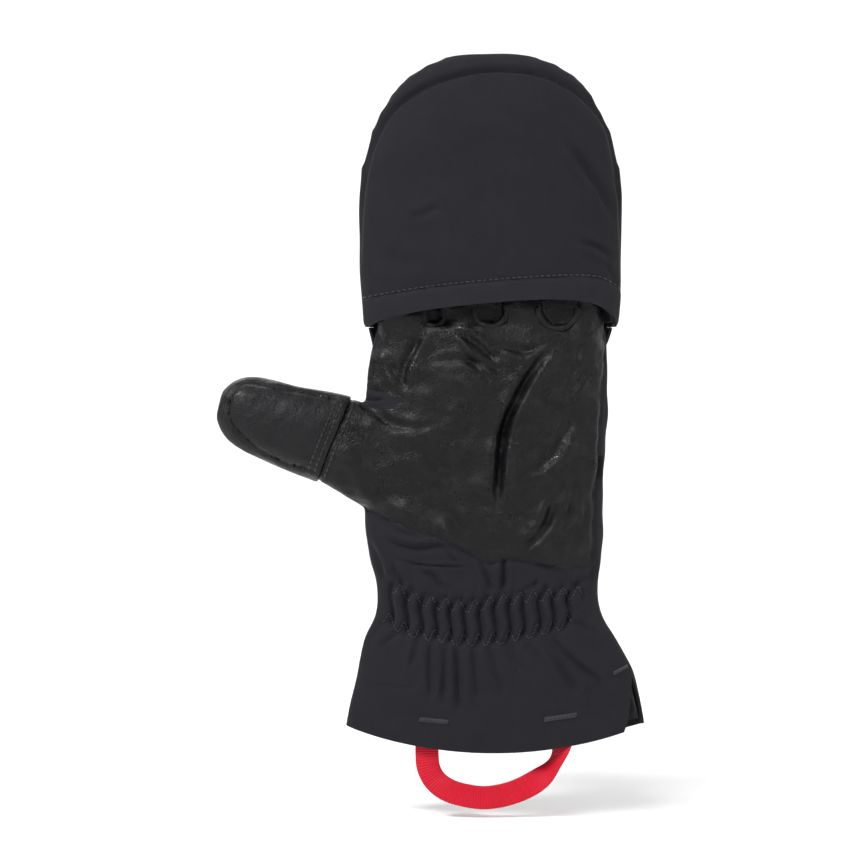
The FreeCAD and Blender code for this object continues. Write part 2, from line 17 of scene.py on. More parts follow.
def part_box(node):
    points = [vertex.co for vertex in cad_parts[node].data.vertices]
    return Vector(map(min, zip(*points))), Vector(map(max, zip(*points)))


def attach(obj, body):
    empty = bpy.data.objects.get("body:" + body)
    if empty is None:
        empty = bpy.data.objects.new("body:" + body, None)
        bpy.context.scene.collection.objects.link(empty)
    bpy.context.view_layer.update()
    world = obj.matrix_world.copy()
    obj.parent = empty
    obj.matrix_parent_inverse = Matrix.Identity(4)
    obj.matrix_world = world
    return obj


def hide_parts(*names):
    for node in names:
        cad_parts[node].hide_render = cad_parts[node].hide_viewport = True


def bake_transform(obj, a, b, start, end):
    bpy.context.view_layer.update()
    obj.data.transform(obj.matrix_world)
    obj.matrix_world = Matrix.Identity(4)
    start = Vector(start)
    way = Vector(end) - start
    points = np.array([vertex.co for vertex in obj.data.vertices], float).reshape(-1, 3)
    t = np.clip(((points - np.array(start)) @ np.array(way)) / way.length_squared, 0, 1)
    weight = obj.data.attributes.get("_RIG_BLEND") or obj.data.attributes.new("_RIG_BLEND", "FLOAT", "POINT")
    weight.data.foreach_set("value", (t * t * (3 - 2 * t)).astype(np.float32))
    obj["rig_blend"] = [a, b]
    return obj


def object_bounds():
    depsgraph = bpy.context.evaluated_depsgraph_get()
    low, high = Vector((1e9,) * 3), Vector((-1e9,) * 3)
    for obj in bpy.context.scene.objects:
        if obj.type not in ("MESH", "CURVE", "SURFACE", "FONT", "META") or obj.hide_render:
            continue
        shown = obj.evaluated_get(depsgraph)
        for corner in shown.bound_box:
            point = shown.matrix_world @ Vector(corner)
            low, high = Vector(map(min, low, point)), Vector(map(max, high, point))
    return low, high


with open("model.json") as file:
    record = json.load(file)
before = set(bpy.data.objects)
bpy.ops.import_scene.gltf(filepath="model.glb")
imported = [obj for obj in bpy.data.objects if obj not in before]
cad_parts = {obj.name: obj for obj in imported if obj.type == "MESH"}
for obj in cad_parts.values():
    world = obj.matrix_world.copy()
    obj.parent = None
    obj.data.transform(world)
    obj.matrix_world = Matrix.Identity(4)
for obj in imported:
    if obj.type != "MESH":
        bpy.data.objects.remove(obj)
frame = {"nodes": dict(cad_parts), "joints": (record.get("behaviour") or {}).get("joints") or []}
cad_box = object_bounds()
MM = 0.001


# ------------------------------------------------------------------ the frame, in millimetres
def node_box(node):
    """A CAD node's lowest and highest corners."""
    low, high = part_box(node)
    return np.array(low) / MM, np.array(high) / MM


def joint_line(name):
    """A point on a joint's axis, and its direction."""
    joint = next(j for j in frame["joints"] if j["name"] == name)
    return np.array(joint["pos_m"]) / MM, np.array(joint["axis"])


fold_at, _ = joint_line("hood_flip")
slit_at, slit_axis = joint_line("thumb_cap_flip")
loop_at, _ = joint_line("pull_loop_swing")
cuff_low, cuff_high = node_box("cuff_back_panel")
elastic_low, elastic_high = node_box("wrist_elastic")
hood_low, hood_high = node_box("hood_back_panel")
hood_front = node_box("hood_palm_panel")[0][1]
hem_low = node_box("cuff_palm_panel")[0][2]
fold_z = fold_at[2]
magnet_x, _, magnet_z = sum(node_box("hood_magnet")) / 2
slit_line = -slit_axis
slit_normal = np.array([-slit_line[2], 0.0, slit_line[0]])

# cloth thicknesses
SOFTSHELL = 1.3
LEATHER = 1.2
LINING = 1.0
HEM = 2.2           # the hood's turned hem
FOLD = 0.5          # the cloth that bends at the hood's fold
LOFT = 3.0          # the wadding's depth, from the shell's face to the lining's
GRAIN = 0.8         # the voxel of the modelled surfaces


# ------------------------------------------------------------------ numbers
def soft_step(t):
    """0 to 1 as t goes from 0 to 1, level at both ends."""
    t = np.clip(t, 0.0, 1.0)
    return t * t * (3 - 2 * t)


def bump_at(distance, width):
    """1 at no distance, fading over width."""
    return np.exp(-((distance / width) ** 2))


def smooth_path(points, steps=6):
    """A Catmull-Rom curve through a few points, as a finer polyline."""
    p = np.array(points, float)
    p = np.vstack([2 * p[0] - p[1], p, 2 * p[-1] - p[-2]])
    made = []
    for k in range(1, len(p) - 2):
        for t in np.arange(steps) / steps:
            made.append(0.5 * (2 * p[k] + (p[k + 1] - p[k - 1]) * t
                               + (2 * p[k - 1] - 5 * p[k] + 4 * p[k + 1] - p[k + 2]) * t ** 2
                               + (3 * p[k] - p[k - 1] - 3 * p[k + 1] + p[k + 2]) * t ** 3))
    return np.array(made + [p[-2]])


def walked(path):
    """How far along a polyline each of its points is."""
    steps = np.linalg.norm(np.diff(path, axis=0), axis=1)
    return np.concatenate([[0], np.cumsum(steps)])


def at_marks(path, marks):
    """The places on a polyline at some distances along it."""
    total = walked(path)
    return np.column_stack([np.interp(marks, total, values) for values in path.T])


def headings(path):
    """A polyline's direction at each of its points."""
    along = np.gradient(path, axis=0)
    return along / np.linalg.norm(along, axis=1)[:, None]


def near_path(plan, path):
    """Signed distance to a polyline, positive on its left, and how far along it, from 0 to 1."""
    starts = walked(path)
    lengths = np.linalg.norm(np.diff(path, axis=0), axis=1)
    best = np.full(len(plan), 1e9)
    signed, along = np.zeros(len(plan)), np.zeros(len(plan))
    for a, b, start, length in zip(path, path[1:], starts, lengths):
        run = (b - a) / max(length, 1e-9)
        offset = plan - a
        t = np.clip(offset @ run, 0, length)
        gap = np.linalg.norm(offset - t[:, None] * run, axis=1)
        closer = gap < best
        side = np.sign(run[0] * offset[:, 1] - run[1] * offset[:, 0])
        best = np.where(closer, gap, best)
        signed = np.where(closer, gap * side, signed)
        along = np.where(closer, (start + t) / starts[-1], along)
    return signed, along


def inside(plan, outline):
    """Signed distance to a closed outline, positive within it."""
    closed = np.vstack([outline, outline[:1]])
    gap = np.abs(near_path(plan, closed)[0])
    within = np.zeros(len(plan), bool)
    for a, b in zip(closed, closed[1:]):
        crosses = (a[1] > plan[:, 1]) != (b[1] > plan[:, 1])
        rise = np.where(b[1] == a[1], 1e-9, b[1] - a[1])
        within ^= crosses & (plan[:, 0] < a[0] + (plan[:, 1] - a[1]) * (b[0] - a[0]) / rise)
    return np.where(within, gap, -gap)


def waves(points, size, seed, count=14):
    """Smooth seeded unevenness between about -1 and 1, whose lumps are about size across."""
    rng = np.random.default_rng(seed)
    directions = rng.normal(size=(count, 3))
    directions /= np.linalg.norm(directions, axis=1)[:, None]
    rates = 2 * math.pi / (size * rng.uniform(1.4, 3.0, count))
    phases = rng.uniform(0, 2 * math.pi, count)
    return np.sin(points @ (directions * rates[:, None]).T + phases).sum(1) / math.sqrt(count)


def crease(plan, path, depth, width, left=0.0, right=0.0, ends=0.3):
    """A fold's relief: a valley along a path, with a bank on its left and on its right."""
    gap, along = near_path(plan, path)
    fade = soft_step(along / ends) * soft_step((1 - along) / ends)
    relief = -depth * bump_at(gap, width)
    relief += left * bump_at(gap - 1.9 * width, 1.3 * width)
    relief += right * bump_at(gap + 1.9 * width, 1.3 * width)
    return relief * fade


# ------------------------------------------------------------------ meshes
def new_mesh(name, points, faces):
    mesh = bpy.data.meshes.new(name)
    mesh.from_pydata((np.asarray(points) * MM).tolist(), [], [tuple(map(int, f)) for f in faces])
    mesh.update()
    obj = bpy.data.objects.new(name, mesh)
    bpy.context.scene.collection.objects.link(obj)
    return obj


def points_of(obj):
    values = np.empty(len(obj.data.vertices) * 3)
    obj.data.vertices.foreach_get("co", values)
    return values.reshape(-1, 3) / MM


def normals_of(obj):
    values = np.empty(len(obj.data.vertices) * 3)
    obj.data.vertex_normals.foreach_get("vector", values)
    return values.reshape(-1, 3)


def set_points(obj, points):
    obj.data.vertices.foreach_set("co", (points * MM).ravel())
    obj.data.update()


def baked(obj):
    """The object with its modifiers applied."""
    graph = bpy.context.evaluated_depsgraph_get()
    mesh = bpy.data.meshes.new_from_object(obj.evaluated_get(graph))
    obj.modifiers.clear()
    obj.data = mesh
    return obj


def with_modifier(obj, kind, **settings):
    modifier = obj.modifiers.new(kind.lower(), kind)
    for key, value in settings.items():
        setattr(modifier, key, value)
    return baked(obj)


def copy_of(obj, name):
    made = bpy.data.objects.new(name, obj.data.copy())
    bpy.context.scene.collection.objects.link(made)
    return made


def discard(*objects):
    for obj in objects:
        bpy.data.objects.remove(obj)


def grid_faces(rows, columns, closed):
    """Quads between rows of points; closed joins each row's end to its start."""
    faces = []
    for r in range(rows - 1):
        for c in range(columns if closed else columns - 1):
            d = (c + 1) % columns
            faces.append((r * columns + c, r * columns + d, (r + 1) * columns + d, (r + 1) * columns + c))
    return faces


def closed_tube(name, rings):
    """A closed tube through rings of points, with flat ends."""
    rows, columns = len(rings), len(rings[0])
    faces = grid_faces(rows, columns, True)
    faces.append(range(columns - 1, -1, -1))
    faces.append(range((rows - 1) * columns, rows * columns))
    return new_mesh(name, np.vstack(rings), faces)


def gathered(objects):
    """The points and faces of some meshes together."""
    points, faces, count = [], [], 0
    for obj in objects:
        points.append(points_of(obj))
        faces += [[v + count for v in p.vertices] for p in obj.data.polygons]
        count += len(points[-1])
    return np.vstack(points), faces


def merged(objects, voxel, rounds, name):
    """Closed forms as one skin, by voxels, with the voxels' steps smoothed away."""
    made = new_mesh(name, *gathered(objects))
    discard(*objects)
    with_modifier(made, "REMESH", mode="VOXEL", voxel_size=voxel * MM)
    return with_modifier(made, "SMOOTH", factor=0.5, iterations=rounds)


def trimmed(obj, field):
    """Keeps what lies where field is positive, cut cleanly along its zero line."""
    values = field(points_of(obj))
    values = np.where(np.abs(values) < 0.03, 0.03, values)
    layer = obj.data.attributes.new("trim", "FLOAT", "POINT")
    layer.data.foreach_set("value", values.astype(np.float32))
    bm = bmesh.new()
    bm.from_mesh(obj.data)
    trim = bm.verts.layers.float["trim"]
    outside = [f for f in bm.faces if all(v[trim] < 0 for v in f.verts)]
    bmesh.ops.delete(bm, geom=outside, context="FACES")
    crossing = [f for f in bm.faces if any(v[trim] < 0 for v in f.verts)]
    bmesh.ops.triangulate(bm, faces=crossing)
    line = set()
    for edge in [e for e in bm.edges if e.verts[0][trim] * e.verts[1][trim] < 0]:
        a, b = edge.verts
        share = a[trim] / (a[trim] - b[trim])
        vertex = bmesh.utils.edge_split(edge, a, share)[1]
        vertex[trim] = 0.0
        line.add(vertex)
    touched = {f for v in line for f in v.link_faces}
    for face in touched:
        ends = [v for v in face.verts if v in line]
        if len(ends) == 2:
            bmesh.utils.face_split(face, ends[0], ends[1])
    outside = [f for f in bm.faces if any(v[trim] < 0 for v in f.verts)]
    bmesh.ops.delete(bm, geom=outside, context="FACES")
    bm.to_mesh(obj.data)
    bm.free()
    obj.data.attributes.remove(obj.data.attributes["trim"])
    return obj


def without_crumbs(obj, least=60):
    """Drops loose scraps of a few faces that a trim can leave."""
    bm = bmesh.new()
    bm.from_mesh(obj.data)
    todo = set(bm.faces)
    while todo:
        scrap, edge = set(), [todo.pop()]
        while edge:
            face = edge.pop()
            scrap.add(face)
            for e in face.edges:
                for other in e.link_faces:
                    if other in todo:
                        todo.discard(other)
                        edge.append(other)
        if len(scrap) < least:
            bmesh.ops.delete(bm, geom=list(scrap), context="FACES")
    bm.to_mesh(obj.data)
    bm.free()
    return obj


def panel(base, name, fields, thickness, outwards=0.0):
    """A cut of cloth: the part of a skin where every field is positive, given its thickness."""
    made = copy_of(base, name)
    for field in fields:
        trimmed(made, field)
    without_crumbs(made)
    if outwards:
        set_points(made, points_of(made) + normals_of(made) * outwards)
    return with_modifier(made, "SOLIDIFY", thickness=thickness * MM, offset=-1.0, use_rim=True)


def finished(obj, slot, look, body, *nodes, blend=None, sharp=50):
    """Gives a piece its look and what it moves with, and hides the CAD nodes that it stands for; slot is not
    used.
    """
    obj.data.materials.clear()
    obj.data.materials.append(look)
    obj.data.shade_smooth()
    obj.data.set_sharp_from_angle(angle=math.radians(sharp))
    if nodes:
        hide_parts(*nodes)
    if blend:
        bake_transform(obj, *blend)
    else:
        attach(obj, body)
    return obj


# ------------------------------------------------------------------ looks
class Look:
    """A procedural material, built node by node on a Principled shader."""

    def __init__(self, name, roughness, **constants):
        self.material = bpy.data.materials.new(name)
        self.material.use_nodes = True
        self.tree = self.material.node_tree
        self.shader = self.tree.nodes["Principled BSDF"]
        self.place = self.tree.nodes.new("ShaderNodeTexCoord").outputs["Object"]
        self.set(self.shader, Roughness=roughness, **constants)

    def plug(self, socket, value):
        """Links a socket to another, or sets its constant."""
        if isinstance(value, bpy.types.NodeSocket):
            self.tree.links.new(value, socket)
        else:
            socket.default_value = value

    def set(self, node, **values):
        for key, value in values.items():
            self.plug(node.inputs[key.replace("_", " ")], value)

    def add(self, kind, output, settings=None, **values):
        node = self.tree.nodes.new("ShaderNode" + kind)
        for key, value in (settings or {}).items():
            setattr(node, key, value)
        self.set(node, **values)
        return node.outputs[output]

    def noise(self, size, detail=3.0, roughness=0.55):
        """Noise whose lumps are about size millimetres across."""
        return self.add("TexNoise", "Fac", Vector=self.place, Scale=1 / (size * MM), Detail=detail,
                        Roughness=roughness)

    def cells(self, size, at):
        """How far a place is from the edge of its cell; the cells are about size millimetres across."""
        return self.add("TexVoronoi", "Distance", {"feature": "DISTANCE_TO_EDGE"}, Vector=at,
                        Scale=1 / (size * MM), Randomness=1.0)

    def bands(self, pitch, axis, distortion=0.0):
        """Ribs with a pitch in millimetres, across an axis."""
        return self.add("TexWave", "Fac", {"bands_direction": axis, "wave_profile": "SIN"}, Vector=self.place,
                        Scale=math.pi / 10 / (pitch * MM), Distortion=distortion, Detail=1.0)

    def math(self, operation, a, b):
        made = self.add("Math", 0, {"operation": operation})
        self.plug(made.node.inputs[0], a)
        self.plug(made.node.inputs[1], b)
        return made

    def ranged(self, value, low, high, start=0.0, end=1.0):
        """Low to high, as the value goes from start to end."""
        return self.add("MapRange", 0, Value=value, From_Min=start, From_Max=end, To_Min=low, To_Max=high)

    def mixed(self, share, first, second):
        """A colour between two, by share."""
        made = self.add("Mix", 2, {"data_type": "RGBA"})
        self.plug(made.node.inputs[0], share)
        for socket, colour in ((made.node.inputs[6], first), (made.node.inputs[7], second)):
            self.plug(socket, (*colour, 1.0) if isinstance(colour, tuple) else colour)
        return made

    def bump(self, height, distance, strength, under=None):
        """A normal from a height, on top of another normal if there is one."""
        made = self.add("Bump", 0, Height=height, Distance=distance * MM, Strength=strength)
        if under:
            self.set(made.node, Normal=under)
        return made


def linear(red, green, blue):
    """A screen colour, 0 to 255, as the shader's linear one."""
    return tuple(c / 255 / 12.92 if c < 11 else ((c / 255 + 0.055) / 1.055) ** 2.4
                 for c in (red, green, blue))


def times(colour, factor):
    return tuple(c * factor for c in colour)


def softshell_look(name, shade):
    """Matt, closely woven stretch cloth, with the faint unevenness of its face."""
    look = Look(name, 0.8, Sheen_Weight=0.03, Sheen_Roughness=0.5, Specular_IOR_Level=0.12)
    base = linear(*shade)
    cloth = look.mixed(look.noise(14, 4.0, 0.6), times(base, 0.82), times(base, 1.18))
    fleck = look.ranged(look.noise(0.55, 2.0, 0.7), 0.0, 0.55, 0.35, 0.75)
    look.set(look.shader, Base_Color=look.mixed(fleck, cloth, times(base, 1.5)))
    weave = look.math("MULTIPLY", look.bands(0.62, "X", 0.6), look.bands(0.62, "Z", 0.6))
    fine = look.bump(weave, 0.06, 0.55)
    look.set(look.shader, Normal=look.bump(look.noise(3.2, 4.0, 0.6), 0.22, 0.35, fine))
    look.set(look.shader, Roughness=look.ranged(look.noise(6, 3.0), 0.72, 0.88))
    return look.material


def leather_look(name, shade, gloss):
    """Grained leather: pebbles parted by fine creases, glossier where it is rubbed."""
    look = Look(name, 0.4, Specular_IOR_Level=0.22, Coat_Weight=0.03, Coat_Roughness=0.2)
    base = linear(*shade)
    uneven = look.add("TexNoise", "Color", Vector=look.place, Scale=1 / (1.6 * MM), Detail=2.0)
    shift = look.add("VectorMath", "Vector", {"operation": "SCALE"}, Vector=uneven, Scale=0.9 * MM)
    at = look.add("VectorMath", "Vector", {"operation": "ADD"}, Vector=look.place)
    look.tree.links.new(shift, at.node.inputs[1])
    pebble = look.ranged(look.cells(1.05, at), 0.0, 1.0, 0.0, 0.22)
    wrinkle = look.ranged(look.cells(4.2, at), 0.0, 1.0, 0.0, 0.07)
    colour = look.mixed(look.noise(2.6, 3.0, 0.6), times(base, 0.75), times(base, 1.3))
    look.set(look.shader, Base_Color=colour)
    rubbed = look.ranged(look.noise(9, 4.0, 0.6), gloss + 0.13, gloss - 0.09, 0.3, 0.7)
    look.set(look.shader, Roughness=look.math("ADD", rubbed, look.ranged(pebble, 0.12, 0.0)))
    grain = look.bump(pebble, 0.12, 0.8)
    fine = look.bump(wrinkle, 0.22, 0.35, grain)
    look.set(look.shader, Normal=look.bump(look.noise(5.0, 3.0, 0.6), 0.6, 0.35, fine))
    return look.material


def thread_look(name, shade):
    """Twisted sewing thread, with painted shade in the grooves of its twist and painted highlight on its
    ridges.
    """
    look = Look(name, 0.5, Sheen_Weight=0.2, Specular_IOR_Level=0.5)
    base = linear(*shade)
    twist = look.bands(0.35, "DIAGONAL")
    # painted shade and highlight: the colour follows the twist's bump, dark in its grooves and light on its
    # ridges
    look.set(look.shader, Base_Color=look.mixed(twist, times(base, 0.6), times(base, 1.4)),
             Normal=look.bump(twist, 0.05, 0.5))
    return look.material


def webbing_look(name, shade):
    """Ribbed tape: bright yarns with painted shade in the gaps between them, a little uneven in dye and wear.
    """
    look = Look(name, 0.6, Sheen_Weight=0.06, Sheen_Roughness=0.4, Specular_IOR_Level=0.25)
    base = linear(*shade)
    yarn = look.noise(0.28, 3.0, 0.6)
    worn = look.noise(7.0, 3.0)
    # painted shade: the yarns' colour darkens where their bump is low, in the gaps between them
    body = look.mixed(yarn, times(base, 0.62), times(base, 1.15))
    colour = look.mixed(look.ranged(worn, 0.0, 0.35, 0.4, 0.8), body, times(base, 0.7))
    look.set(look.shader, Base_Color=colour,
             Normal=look.bump(yarn, 0.06, 0.6), Roughness=look.ranged(worn, 0.48, 0.66))
    return look.material


def lining_look(name, shade):
    """Brushed knit, with painted shade in the hollows of its nap and painted highlight on its tufts."""
    look = Look(name, 0.92, Sheen_Weight=0.12, Sheen_Roughness=0.6, Specular_IOR_Level=0.12)
    base = linear(*shade)
    nap = look.noise(0.9, 5.0, 0.75)
    # painted shade and highlight: the colour follows the nap's bump, dark in its hollows and light on its
    # tufts
    look.set(look.shader, Base_Color=look.mixed(nap, times(base, 0.6), times(base, 1.5)),
             Normal=look.bump(nap, 0.35, 0.7))
    return look.material


softshell = softshell_look("softshell", (26, 26, 30))
softshell_hem = softshell_look("softshell_hem", (29, 29, 33))
leather = leather_look("leather", (2, 2, 4), 0.31)
thumb_leather = leather_look("thumb_leather", (12, 12, 15), 0.34)
seam_thread = thread_look("seam_thread", (11, 11, 14))
webbing = webbing_look("webbing", (200, 6, 40))
knit = lining_look("knit", (34, 34, 38))


# each cloth's slot, look and thickness
CLOTHS = {
    "softshell": ("softshell", softshell, SOFTSHELL),
    "hem": ("softshell", softshell_hem, HEM),
    "fold": ("softshell", softshell, FOLD),
    "leather": ("leather", leather, LEATHER),
    "thumb": ("thumb_leather", thumb_leather, LEATHER),
    "lining": ("lining", knit, LINING),
}


def sewn(skin, name, fields, cloth, body, *nodes, outwards=0.0, blend=None):
    """A panel cut from a skin in one of the cloths, as a finished piece."""
    slot, look, thickness = CLOTHS[cloth]
    made = panel(skin, name, fields, thickness, outwards)
    return finished(made, slot, look, body, *nodes, blend=blend)


# ------------------------------------------------------------------ the forms
ROUND = 2.3         # superellipse power of a stuffed cross-section
RING = 72           # points round a form


def oval_ring(centre, across, half_across, front, back, power=ROUND):
    """A ring of points; front and back are its reach along -Y and +Y."""
    angles = np.arange(RING) / RING * 2 * math.pi
    c, s = np.cos(angles), np.sin(angles)
    u = np.sign(c) * np.abs(c) ** (2 / power) * half_across
    v = np.sign(s) * np.abs(s) ** (2 / power)
    depth = np.where(v > 0, back, front) * v
    return np.array(centre) + u[:, None] * np.array(across) + depth[:, None] * np.array([0, 1.0, 0])


def upright_rings(stations, spacing):
    """Rings square to Z, smoothly through rows of z, left, right, front and back."""
    rows = np.array(stations, float)
    path = smooth_path(rows, 8)
    heights = np.arange(path[0, 0], path[-1, 0], spacing)
    rings = []
    for z in np.append(heights, path[-1, 0]):
        left, right, front, back = (np.interp(z, path[:, 0], path[:, k]) for k in range(1, 5))
        rings.append(oval_ring(((left + right) / 2, 0, z), (1, 0, 0), (right - left) / 2, front, back))
    return rings


# height, left, right, palm depth, back depth
sleeve_stations = [
    (hem_low - 8, cuff_low[0] - 4.5, cuff_high[0] + 3.5, 12.0, 12.0),
    (hem_low + 15, cuff_low[0] + 0.6, cuff_high[0] + 0.6, 12.0, 12.0),
    (hem_low + 34, cuff_low[0] + 4.5, cuff_high[0] - 4.0, 11.8, 12.0),
    (elastic_low[2] - 2, elastic_low[0] - 8.0, elastic_high[0] + 9.0, 11.2, 11.8),
    (elastic_low[2] + 8, elastic_low[0] - 3.2, elastic_high[0] + 3.6, 10.9, 11.6),
    (elastic_high[2] + 4, elastic_low[0] - 2.2, elastic_high[0] + 1.6, 11.6, 12.2),
    (elastic_high[2] + 17, elastic_low[0] - 4.8, elastic_high[0] + 2.8, 13.0, 12.6),
    (elastic_high[2] + 36, elastic_low[0] - 7.4, elastic_high[0] + 3.6, 14.4, 13.0),
    (fold_z - 44, elastic_low[0] - 7.4, elastic_high[0] + 4.8, 14.6, 13.0),
    (fold_z - 18, elastic_low[0] - 6.2, elastic_high[0] + 5.4, 13.8, 12.8),
    (fold_z - 3, elastic_low[0] - 2.6, elastic_high[0] + 4.6, 12.6, 12.0),
    (fold_z + 1, elastic_low[0] - 1.0, elastic_high[0] + 3.2, 11.0, 10.6),
]

# the thumb, from inside the palm to its tip: upper edge, lower edge (x, z), palm and back depth
thumb_stations = [
    ((-24, 98), (-34, 38), 13.0, 12.0),
    ((-40, 90.5), (-54, 46.5), 12.6, 11.4),
    ((-50, 91.3), (-65, 53.0), 12.4, 11.2),
    ((-60.7, 94.6), (-75.2, 59.4), 12.0, 10.8),
    ((-72, 97.0), (-85, 63.0), 11.8, 10.6),
    ((-84, 99.2), (-96, 67.2), 11.4, 10.2),
    ((-96, 101.8), (-106, 71.4), 10.8, 9.8),
    ((-105, 102.8), (-113, 75.8), 9.8, 9.0),
    ((-111.5, 101.2), (-117.3, 80.6), 8.0, 7.4),
    ((-116.3, 97.5), (-119.4, 86.0), 5.0, 4.8),
]

# fingers: left and right edge at the knuckles
finger_edges = [(-49.5, -25.8), (-24.2, -1.1), (0.4, 28.1), (29.8, 49.4)]
FINGER_TOP = fold_z + 34


def thumb_form():
    rows = np.array([(*upper, *lower, front, back) for upper, lower, front, back in thumb_stations])
    path = smooth_path(rows, 5)
    rings = []
    for x0, z0, x1, z1, front, back in path:
        upper, lower = np.array([x0, 0, z0]), np.array([x1, 0, z1])
        half = np.linalg.norm(upper - lower) / 2
        rings.append(oval_ring((upper + lower) / 2, (lower - upper) / (2 * half), half, front, back, 2.15))
    return closed_tube("thumb_form", rings)


def finger_form(left, right):
    """One finger; the outer two are shallower, as the hand is."""
    front = 11.6 - 1.2 * ((left + right) / 76) ** 2
    stations = [
        (fold_z - 22, left + 1, right - 1, front - 2.4, 9.0),
        (fold_z - 4, left, right, front, 9.6),
        (fold_z + 12, left + 0.2, right - 0.2, front - 0.6, 9.6),
        (FINGER_TOP + 4, left + 0.6, right - 0.6, front - 1.6, 9.2),
    ]
    return closed_tube("finger_form", upright_rings(stations, 3.0))


def glove_skin():
    """The sleeve, the thumb and the half fingers as one smooth closed skin."""
    sleeve = closed_tube("sleeve_form", upright_rings(sleeve_stations, 3.0))
    fingers = [finger_form(*edges) for edges in finger_edges]
    return merged([sleeve, thumb_form(), *fingers], GRAIN, 14, "glove_skin")


# ------------------------------------------------------------------ plan lines of the glove
leather_edge = smooth_path([
    (-74.5, 58.6), (-66.5, 53.2), (-55, 47.0), (-41.6, 40.6), (-23.7, 34.2), (-10.3, 27.6), (-0.6, 22.6),
    (7.9, 24.6), (23.1, 21.9), (36.5, 20.6), (43.2, 22.6), (44.6, 29.0), (44.4, 38.0), (45.9, 63.3),
    (46.8, 81.2), (48.6, 99.1), (50.0, 112.0), (52.5, 128.0)], 4)
leather_outline = np.vstack([
    leather_edge, [(60, 175), (-60, 175), (-49.0, 140), (-49.5, 127.8), (-52.8, 112.0), (-54.6, 103.5),
                   (-51.0, 99.6), (-44.5, 96.6), (-40.6, 93.6), (-41.6, 90.4), (-48, 89.8), (-56, 91.6),
                   (-66, 100.0), (-90, 110), (-130, 112), (-130, 60), (-90, 52)]])

elastic_upper = smooth_path([(-48, 15.5), (-43.9, 13.2), (-28, 6.6), (-8.6, 4.6), (2.6, 6.7), (17.5, 8.9),
                             (39.8, 10.4), (46, 12.0)], 6)
elastic_lower = smooth_path([(-50, 1.5), (-44.8, -1.4), (-37.4, -5.4), (-23.4, -8.4), (-9.5, -10.0),
                             (4, -9.1), (16.6, -6.6), (29.6, -3.4), (38, 0.2), (47, 3.0)], 6)
GATHER_LEFT, GATHER_RIGHT = -43.0, 40.0
PLEAT = 6.4
ZIGZAG = 4.4        # the height of the zigzag of stitches that holds the elastic


def row_z(row, x):
    return np.interp(x, row[:, 0], row[:, 1])


def pleat_places():
    """Where the pleats sit along the elastic, a little unevenly."""
    rng = np.random.default_rng(3)
    even = np.arange(GATHER_LEFT, GATHER_RIGHT, PLEAT)
    return even + rng.uniform(-0.6, 0.6, len(even))


def zigzag(row, lean):
    """The stitches' path along a row: down into each pleat and up between them."""
    corners = []
    for place in pleat_places():
        for share, side in ((0.0, -1), (0.12, -1), (0.42, 1), (0.58, 1), (0.88, -1)):
            x = place + lean + PLEAT * share
            corners.append((x, row_z(row, x) + side * ZIGZAG / 2))
    return smooth_path(corners, 4)


zigzags = [zigzag(elastic_upper, 0.8), zigzag(elastic_lower, -0.8 - PLEAT / 2)]

# pleats that run out of the gathers over the cuff: path, depth
cuff_pleats = [
    ([(-31, -8), (-33, -15), (-35, -23)], 1.0),
    ([(-26, -9), (-26.5, -22), (-26, -36)], 1.3),
    ([(-19.5, -10), (-20, -24), (-21.5, -40)], 1.2),
    ([(-15.2, -10), (-14.4, -26), (-14, -43)], 1.8),
    ([(-7.5, -11), (-7, -24), (-5.5, -37)], 1.4),
    ([(-1, -11), (1.5, -22), (6, -35)], 1.2),
    ([(6, -10), (9, -17), (13.5, -25)], 0.9),
    ([(13.5, -9), (17, -14), (22, -20)], 0.8),
    ([(21, -7), (26, -14), (32, -25), (39, -35)], 1.6),
    ([(25, -6), (29, -13), (36, -20), (43, -25), (49, -31)], 1.9),
    ([(42, -30), (43, -37), (42.5, -43)], 0.7),
    ([(-39, -5), (-43, -9), (-49, -14)], 0.8),
    ([(-45, -1), (-49, -5), (-53, -11)], 0.7),
    ([(36, -2), (41, -5), (47, -8)], 0.8),
    ([(-52, -30), (-40, -31), (-30, -30)], 0.35),
]


def gathers(plan):
    """The wrist's relief: puffs between the stitched rows, and pleats that run out of them."""
    x, z = plan.T
    top, low = row_z(elastic_upper, x), row_z(elastic_lower, x)
    span = soft_step((x - GATHER_LEFT + 4) / 5) * soft_step((GATHER_RIGHT + 4 - x) / 5)
    level = np.clip((z - low) / (top - low), -3, 4)
    band = soft_step((level + 0.35) / 0.4) * soft_step((1.35 - level) / 0.4)
    relief = -0.4 * band * span
    for k, place in enumerate(pleat_places()):
        sway = 1.1 * np.sin((z - low) / (top - low) * math.pi * 1.6 + 0.6) + 0.4 * math.sin(2.1 * k)
        valley = x - place - 0.8 * (2 * level - 1) - sway
        relief += band * span * (1.5 * bump_at(valley - PLEAT / 2, 2.1) - 1.9 * bump_at(valley, 1.15))
    for path in zigzags:
        relief -= 0.95 * bump_at(near_path(plan, path)[0], 0.9) * span
    for path, depth in cuff_pleats:
        relief += crease(plan, smooth_path(path), depth, 1.15 + 0.25 * depth, 0.3 * depth, 0.3 * depth, 0.22)
    rng = np.random.default_rng(5)
    for k, place in enumerate(pleat_places()):
        up = z - row_z(elastic_upper, x)
        reach = rng.uniform(5.0, 11.0)
        centre = place + 0.8 + PLEAT / 2 + rng.uniform(-0.35, 0.35) * up
        fade = soft_step(up / 2.0 + 0.2) * soft_step((reach - up) / (0.8 * reach))
        relief -= fade * rng.uniform(0.6, 1.3) * bump_at(x - centre, 1.2)
        relief += fade * 0.5 * bump_at(x - centre - 2.4, 1.5)
    return relief


